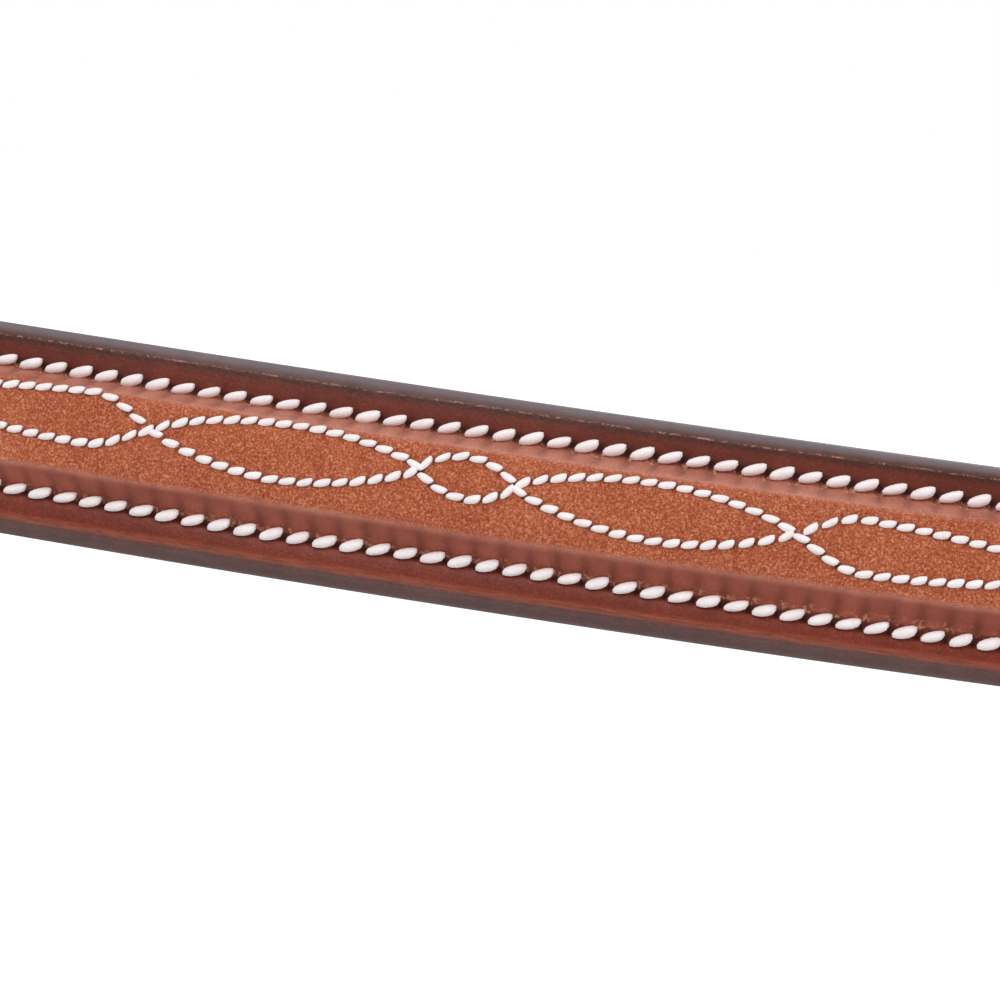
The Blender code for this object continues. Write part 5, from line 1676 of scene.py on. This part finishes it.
    def normal(self, length, across):
        """The top leather's direction outwards at a point."""
        forward = self.point(length + NORMAL_REACH, across) - self.point(length - NORMAL_REACH, across)
        sideways = self.point(length, across + NORMAL_REACH) - self.point(length, across - NORMAL_REACH)
        return forward.cross(sideways).normalized()

    def one_stitch(self, sewing, points, size):
        """A stitch over three points of the top leather: its start, its middle and its end."""
        before, middle, after = points
        along = self.point(*after) - self.point(*before)
        sewing.stitch(self.point(*middle), along, self.normal(*middle), size)

    def add_stitches(self, edge_size, fancy_size, seed):
        """The two edge rows, the rows across the ends and both waves."""
        sewing = Sewing(self.name + "_stitching", seed)
        last = self.size.end - END_ROW_INSET
        for side, phase, pitch in self.rows:
            for number in range(ceil((-last - phase) / pitch), int((last - phase) / pitch) + 1):
                place = phase + number * pitch
                points = [(step, side * self.row_at(side, step))
                          for step in (place - pitch / 2, place, place + pitch / 2)]
                self.one_stitch(sewing, points, edge_size)
        across_end = 2 * (self.size.row - END_ROW_CLEAR)
        count = round(across_end / self.size.pitch)
        for end in (-last, last):
            for number in range(count):
                across = (number + 0.5 - count / 2) * across_end / count
                points = [(end, across + step * self.size.pitch / 2) for step in (-1, 0, 1)]
                self.one_stitch(sewing, points, edge_size)
        over, under = [list(zip(places[::2], places[1::2], places[2::2])) for places in self.waves]
        for points in over + parted(over, under, fancy_size.length / 2):
            self.one_stitch(sewing, points, fancy_size)
        sewing.done(BODY_OF[self.name + "_face"])


def band_route(front, half_span, front_radius, corner_radius):
    """Half a band seen from above: from the middle of its front, round the corner to its side."""
    angle = degrees(asin((half_span - corner_radius) / (front_radius - corner_radius)))
    route = Route(0, -front, 0)
    return route.bend(front_radius, angle, BAND_STEPS).bend(corner_radius, 90 - angle, BAND_STEPS)


def add_browband():
    """The browband: the band of the photograph, with its lining turned back into the end loops."""
    outer = CROWN_HALF_SPAN + STRAP_THICKNESS + SEAT + LINING_THICKNESS / 2
    inner = CROWN_HALF_SPAN - LAYER - SEAT - LINING_THICKNESS / 2
    route = band_route(BROWBAND_FRONT, outer, BROWBAND_FRONT_RADIUS, BROWBAND_CORNER_RADIUS)
    upright = route.length

    def lean_at(length):
        """The band leans back at its middle and stands upright at its loops."""
        return radians(BROWBAND_LEAN) * eased((upright - abs(length)) / BROWBAND_LEAN_RUN)

    plane = Plane((0, 0, -BROWBAND_DROP), (1, 0, 0), (0, 1, 0), lean_at)
    route.run(CROWN_Y + CROWN_WIDTH / 2 + SEAT - route.point.y)
    route.bend((outer - inner) / 2, 180, LOOP_STEPS).run(CROWN_WIDTH + 2 * SEAT + LOOP_PLAY)
    route.jog(outer - inner - LINING_THICKNESS - SEAT, LOOP_JOG_RADIUS).run(LOOP_LAP)
    band = Band("browband", plane, route, BROWBAND_SIZE, BROWBAND_ROWS, BROWBAND_DRIFT)
    band.plan_fancy(BROWBAND_DROPS, BROWBAND_WANDER, BROWBAND_FANCY_PITCH)
    band.add_face()
    band.add_core()
    band.add_stitches(BROWBAND_EDGE_STITCH, BROWBAND_FANCY_STITCH, BROWBAND_SEED)
    stations = route.both_ways()
    rings = [band.lining_ring(station, band.size.half) for station in stations]
    mesh = bent(rings, reached(stations))
    leather_piece("browband_backing", mesh, LINING_LEATHER)
    sewing = Sewing("browband_loop_stitching", LOOP_SEED)
    for side in (-1, 1):
        for across in (-1, 1):
            line = on_strap(plane, route, across * (band.size.half - PLAIN_INSET), LINING_THICKNESS / 2)
            sewing.plain(line, *sorted(side * (route.length - inset) for inset in LOOP_SEWN))
    sewing.done(BODY_OF["browband_backing"])


def add_noseband():
    """The cavesson: a broader raised band on its lining, with the hanger's slots and the jaw straps."""
    plane = Plane((0, 0, -NOSEBAND_DROP), (1, 0, 0), (0, 1, 0))
    side = NOSEBAND_INNER_X + LINING_THICKNESS / 2
    route = band_route(NOSEBAND_FRONT, side, NOSEBAND_FRONT_RADIUS, NOSEBAND_CORNER_RADIUS)
    corner_length = route.length
    straight = NOSEBAND_BEHIND_HANGER - route.point.y
    route.run(straight)
    band = Band("noseband", plane, route, NOSEBAND_SIZE, NOSEBAND_ROWS, NOSEBAND_DRIFT)
    band.plan_fancy(NOSEBAND_DROPS, NOSEBAND_WANDER, NOSEBAND_FANCY_PITCH)
    band.add_face()
    band.add_core()
    band.add_stitches(NOSEBAND_EDGE_STITCH, NOSEBAND_FANCY_STITCH, NOSEBAND_SEED)
    rings = []
    stations = route.both_ways()
    for station in stations:
        share = min(1.0, max(0.0, (abs(station[2]) - corner_length) / (straight * NOSEBAND_NARROWING_SHARE)))
        half = band.size.half + (NOSEBAND_END_WIDTH / 2 - band.size.half) * share
        rings.append(band.lining_ring(station, half))
    mesh = bent(rings, reached(stations))
    sides = (LINING_THICKNESS + OVERRUN, NARROW_WIDTH + 2 * SLOT_SIDE_PLAY, 2 * SLOT_HALF_HEIGHT)
    slots = box_cutter([((hand * side, 0, -SLOT_DROP), sides) for hand in (-1, 1)])
    leather_piece("noseband_backing", punched(mesh, slots), LINING_LEATHER)
    add_jaw_straps(plane)


def add_jaw_straps(plane):
    """The off strap is the billet, the near strap carries the buckle."""
    start = NOSEBAND_BEHIND_HANGER - JAW_OVERLAP
    billet_back = JAW_BACK_Y + LAYER
    route = Route(JAW_X, start, 90)
    route.run(billet_back - JAW_CORNER_RADIUS - start).bend(JAW_CORNER_RADIUS, 90, JAW_STEPS)
    route.run(route.point.x - JAW_BUCKLE_OFFSET + BILLET_TAIL - POINT_LENGTH).run_point()
    mesh = strap_mesh(route.stations, plane, pointed(JAW_WIDTH))
    turn = Matrix.Rotation(pi / 2, 4, 'X') @ Matrix.Rotation(pi / 2, 4, 'Z')
    holes = [((JAW_BUCKLE_OFFSET + HOLE_RISE + HOLE_PITCH * step, billet_back, -NOSEBAND_DROP), turn,
              HOLE_HALF_WIDTH, HOLE_HALF_LENGTH) for step in range(-1, 2)]
    cutter = oval_cutter(holes, STRAP_THICKNESS + OVERRUN)
    leather_piece("off_jaw_strap", punched(mesh, cutter))

    near = Route(-JAW_X, start, 90)
    near.run(JAW_BACK_Y - JAW_CORNER_RADIUS - start).bend(JAW_CORNER_RADIUS, -90, JAW_STEPS)
    near.run(JAW_BUCKLE_OFFSET - near.point.x)
    chape(near, -1)
    matrix = Matrix(((0, 0, 1, JAW_BUCKLE_OFFSET), (1, 0, 0, JAW_BACK_Y - CHAPE_RADIUS),
                     (0, 1, 0, -NOSEBAND_DROP), (0, 0, 0, 1)))
    mesh = strap_mesh(near.stations, plane, even(JAW_WIDTH), flip=True)
    leather_piece("near_jaw_strap", punched(mesh, tongue_slot(matrix)))
    add_buckle("jaw", JAW_WIDTH, matrix)
    sewing = Sewing("jaw_stitching", JAW_SEED)
    chape_stitches(sewing, JAW_WIDTH, matrix)
    faces = (NOSEBAND_INNER_X + LINING_THICKNESS, JAW_X - STRAP_THICKNESS / 2)
    for side in (-1, 1):
        level = Matrix(((side, 0, 0, 0), (0, 0, 1, 0), (0, 1, 0, -NOSEBAND_DROP), (0, 0, 0, 1)))
        lap_stitches(sewing, JAW_WIDTH, level, faces, start + JAW_ROW_FRONT_SET,
                     NOSEBAND_BEHIND_HANGER - JAW_ROW_BACK_SET)
    sewing.done(BODY_OF["near_jaw_strap"])


# Stage: a pale floor, a white surround, soft lamps and the camera

WHITE = (1.0, 1.0, 1.0, 1.0)
SURROUND_LIGHT = 0.48
FLOOR_CLEAR = 8.0 * MM
FLOOR_HALF = 12.0
FLOOR_COLOUR = (0.75, 0.75, 0.75, 1.0)
FLOOR_GLOW = (("From Min", 0.2), ("From Max", 2.6), ("To Min", 0.22), ("To Max", 0.72))

# Each lamp's name, place, size and power; all are turned to one point
LAMP_TARGET = (0.0, -0.05, -0.15)
LAMPS = (("key_above", (-0.35, -1.0, 0.95), 0.7, 10.5),
         ("fill_side", (1.3, -0.9, 0.1), 1.0, 4.5),
         ("back_above", (0.2, 1.3, 0.9), 0.9, 7.0))

# The camera's aim in millimetres, and its azimuth, elevation and roll in degrees
CAMERA_AIM = (2.2, -103.57, -96.44)
CAMERA_TURNS = (10.02, 5.255, 7.625)
CAMERA_DISTANCE = 400.0 * MM
CAMERA_SENSOR = 36.0
CAMERA_LENS = 164.69
CAMERA_CLIP = (0.02, 60.0)


def where_seen(tree):
    """1 for the camera's rays and for those seen in gloss or through glass, else 0."""
    paths = tree.nodes.new("ShaderNodeLightPath")
    seen = paths.outputs["Is Camera Ray"]
    for name in ("Is Glossy Ray", "Is Transmission Ray"):
        either = tree.nodes.new("ShaderNodeMath")
        either.operation = 'MAXIMUM'
        tree.links.new(seen, either.inputs[0])
        tree.links.new(paths.outputs[name], either.inputs[1])
        seen = either.outputs[0]
    return seen


def add_floor():
    """A broad pale floor under the bit ends, white to the camera but for the bridle's shadow."""
    shape = bmesh.new()
    place = Matrix.Translation((0, 0, packed_box[0].z - FLOOR_CLEAR))
    bmesh.ops.create_grid(shape, x_segments=8, y_segments=8, size=FLOOR_HALF, matrix=place)
    mesh = bpy.data.meshes.new("floor")
    shape.to_mesh(mesh)
    shape.free()
    floor = shown("floor", mesh)
    made = Finish("pale_floor", 0.9)
    made.look("Base Color", FLOOR_COLOUR)
    nodes = made.tree.nodes
    away = nodes.new("ShaderNodeVectorMath")
    away.operation = 'LENGTH'
    made.set(away, 0, made.place)
    level = nodes.new("ShaderNodeMapRange")
    level.interpolation_type = 'SMOOTHSTEP'
    for name, value in FLOOR_GLOW:
        made.set(level, name, value)
    made.set(level, "Value", away.outputs["Value"])
    glow = nodes.new("ShaderNodeEmission")
    made.set(glow, "Strength", level.outputs["Result"])
    both = nodes.new("ShaderNodeAddShader")
    made.set(both, 0, made.shader.outputs[0])
    made.set(both, 1, glow.outputs[0])
    mix = nodes.new("ShaderNodeMixShader")
    made.set(mix, 0, where_seen(made.tree))
    made.set(mix, 1, made.shader.outputs[0])
    made.set(mix, 2, both.outputs[0])
    made.set(nodes["Material Output"], "Surface", mix.outputs[0])
    mesh.materials.append(made.material)


def add_surround():
    """The world: white where it is seen, a plain level elsewhere."""
    world = bpy.data.worlds.new("white_surround")
    bpy.context.scene.world = world
    world.use_nodes = True
    tree = world.node_tree
    plain = tree.nodes["Background"]
    plain.inputs["Color"].default_value = WHITE
    plain.inputs["Strength"].default_value = SURROUND_LIGHT
    seen = tree.nodes.new("ShaderNodeBackground")
    seen.inputs["Color"].default_value = WHITE
    mix = tree.nodes.new("ShaderNodeMixShader")
    tree.links.new(where_seen(tree), mix.inputs[0])
    tree.links.new(plain.outputs[0], mix.inputs[1])
    tree.links.new(seen.outputs[0], mix.inputs[2])
    tree.links.new(mix.outputs[0], tree.nodes["World Output"].inputs["Surface"])


def add_lamp(name, place, size, power):
    """A soft round lamp that the camera doesn't see."""
    lamp = bpy.data.lights.new(name, 'AREA')
    lamp.shape = 'DISK'
    lamp.size = size
    lamp.energy = power
    made = shown(name, lamp)
    made.location = place
    made.rotation_mode = 'QUATERNION'
    made.rotation_quaternion = (Vector(LAMP_TARGET) - Vector(place)).to_track_quat('-Z', 'Y')
    made.visible_camera = False


def add_camera():
    """Close in front of the browband's middle, as in the photograph, turned so that the band slopes."""
    azimuth, elevation, roll = (radians(angle) for angle in CAMERA_TURNS)
    back = Vector((sin(azimuth) * cos(elevation), -cos(azimuth) * cos(elevation), sin(elevation)))
    data = bpy.data.cameras.new("camera")
    data.sensor_width = CAMERA_SENSOR
    data.lens = CAMERA_LENS
    data.clip_start, data.clip_end = CAMERA_CLIP
    camera = shown("camera", data)
    camera.location = Vector(CAMERA_AIM) * MM + back * CAMERA_DISTANCE
    camera.rotation_mode = 'QUATERNION'
    turn = (-back).to_track_quat('-Z', 'Y').to_matrix() @ Matrix.Rotation(roll, 3, 'Z')
    camera.rotation_quaternion = turn.to_quaternion()
    bpy.context.scene.camera = camera


def main():
    """Build the bridle's visual model and its stage."""
    add_crown()
    add_cheekpieces()
    add_throatlatch()
    add_hanger()
    add_browband()
    add_noseband()
    add_floor()
    add_surround()
    for lamp in LAMPS:
        add_lamp(*lamp)
    add_camera()
    bpy.context.scene.view_settings.view_transform = 'Standard'


main()
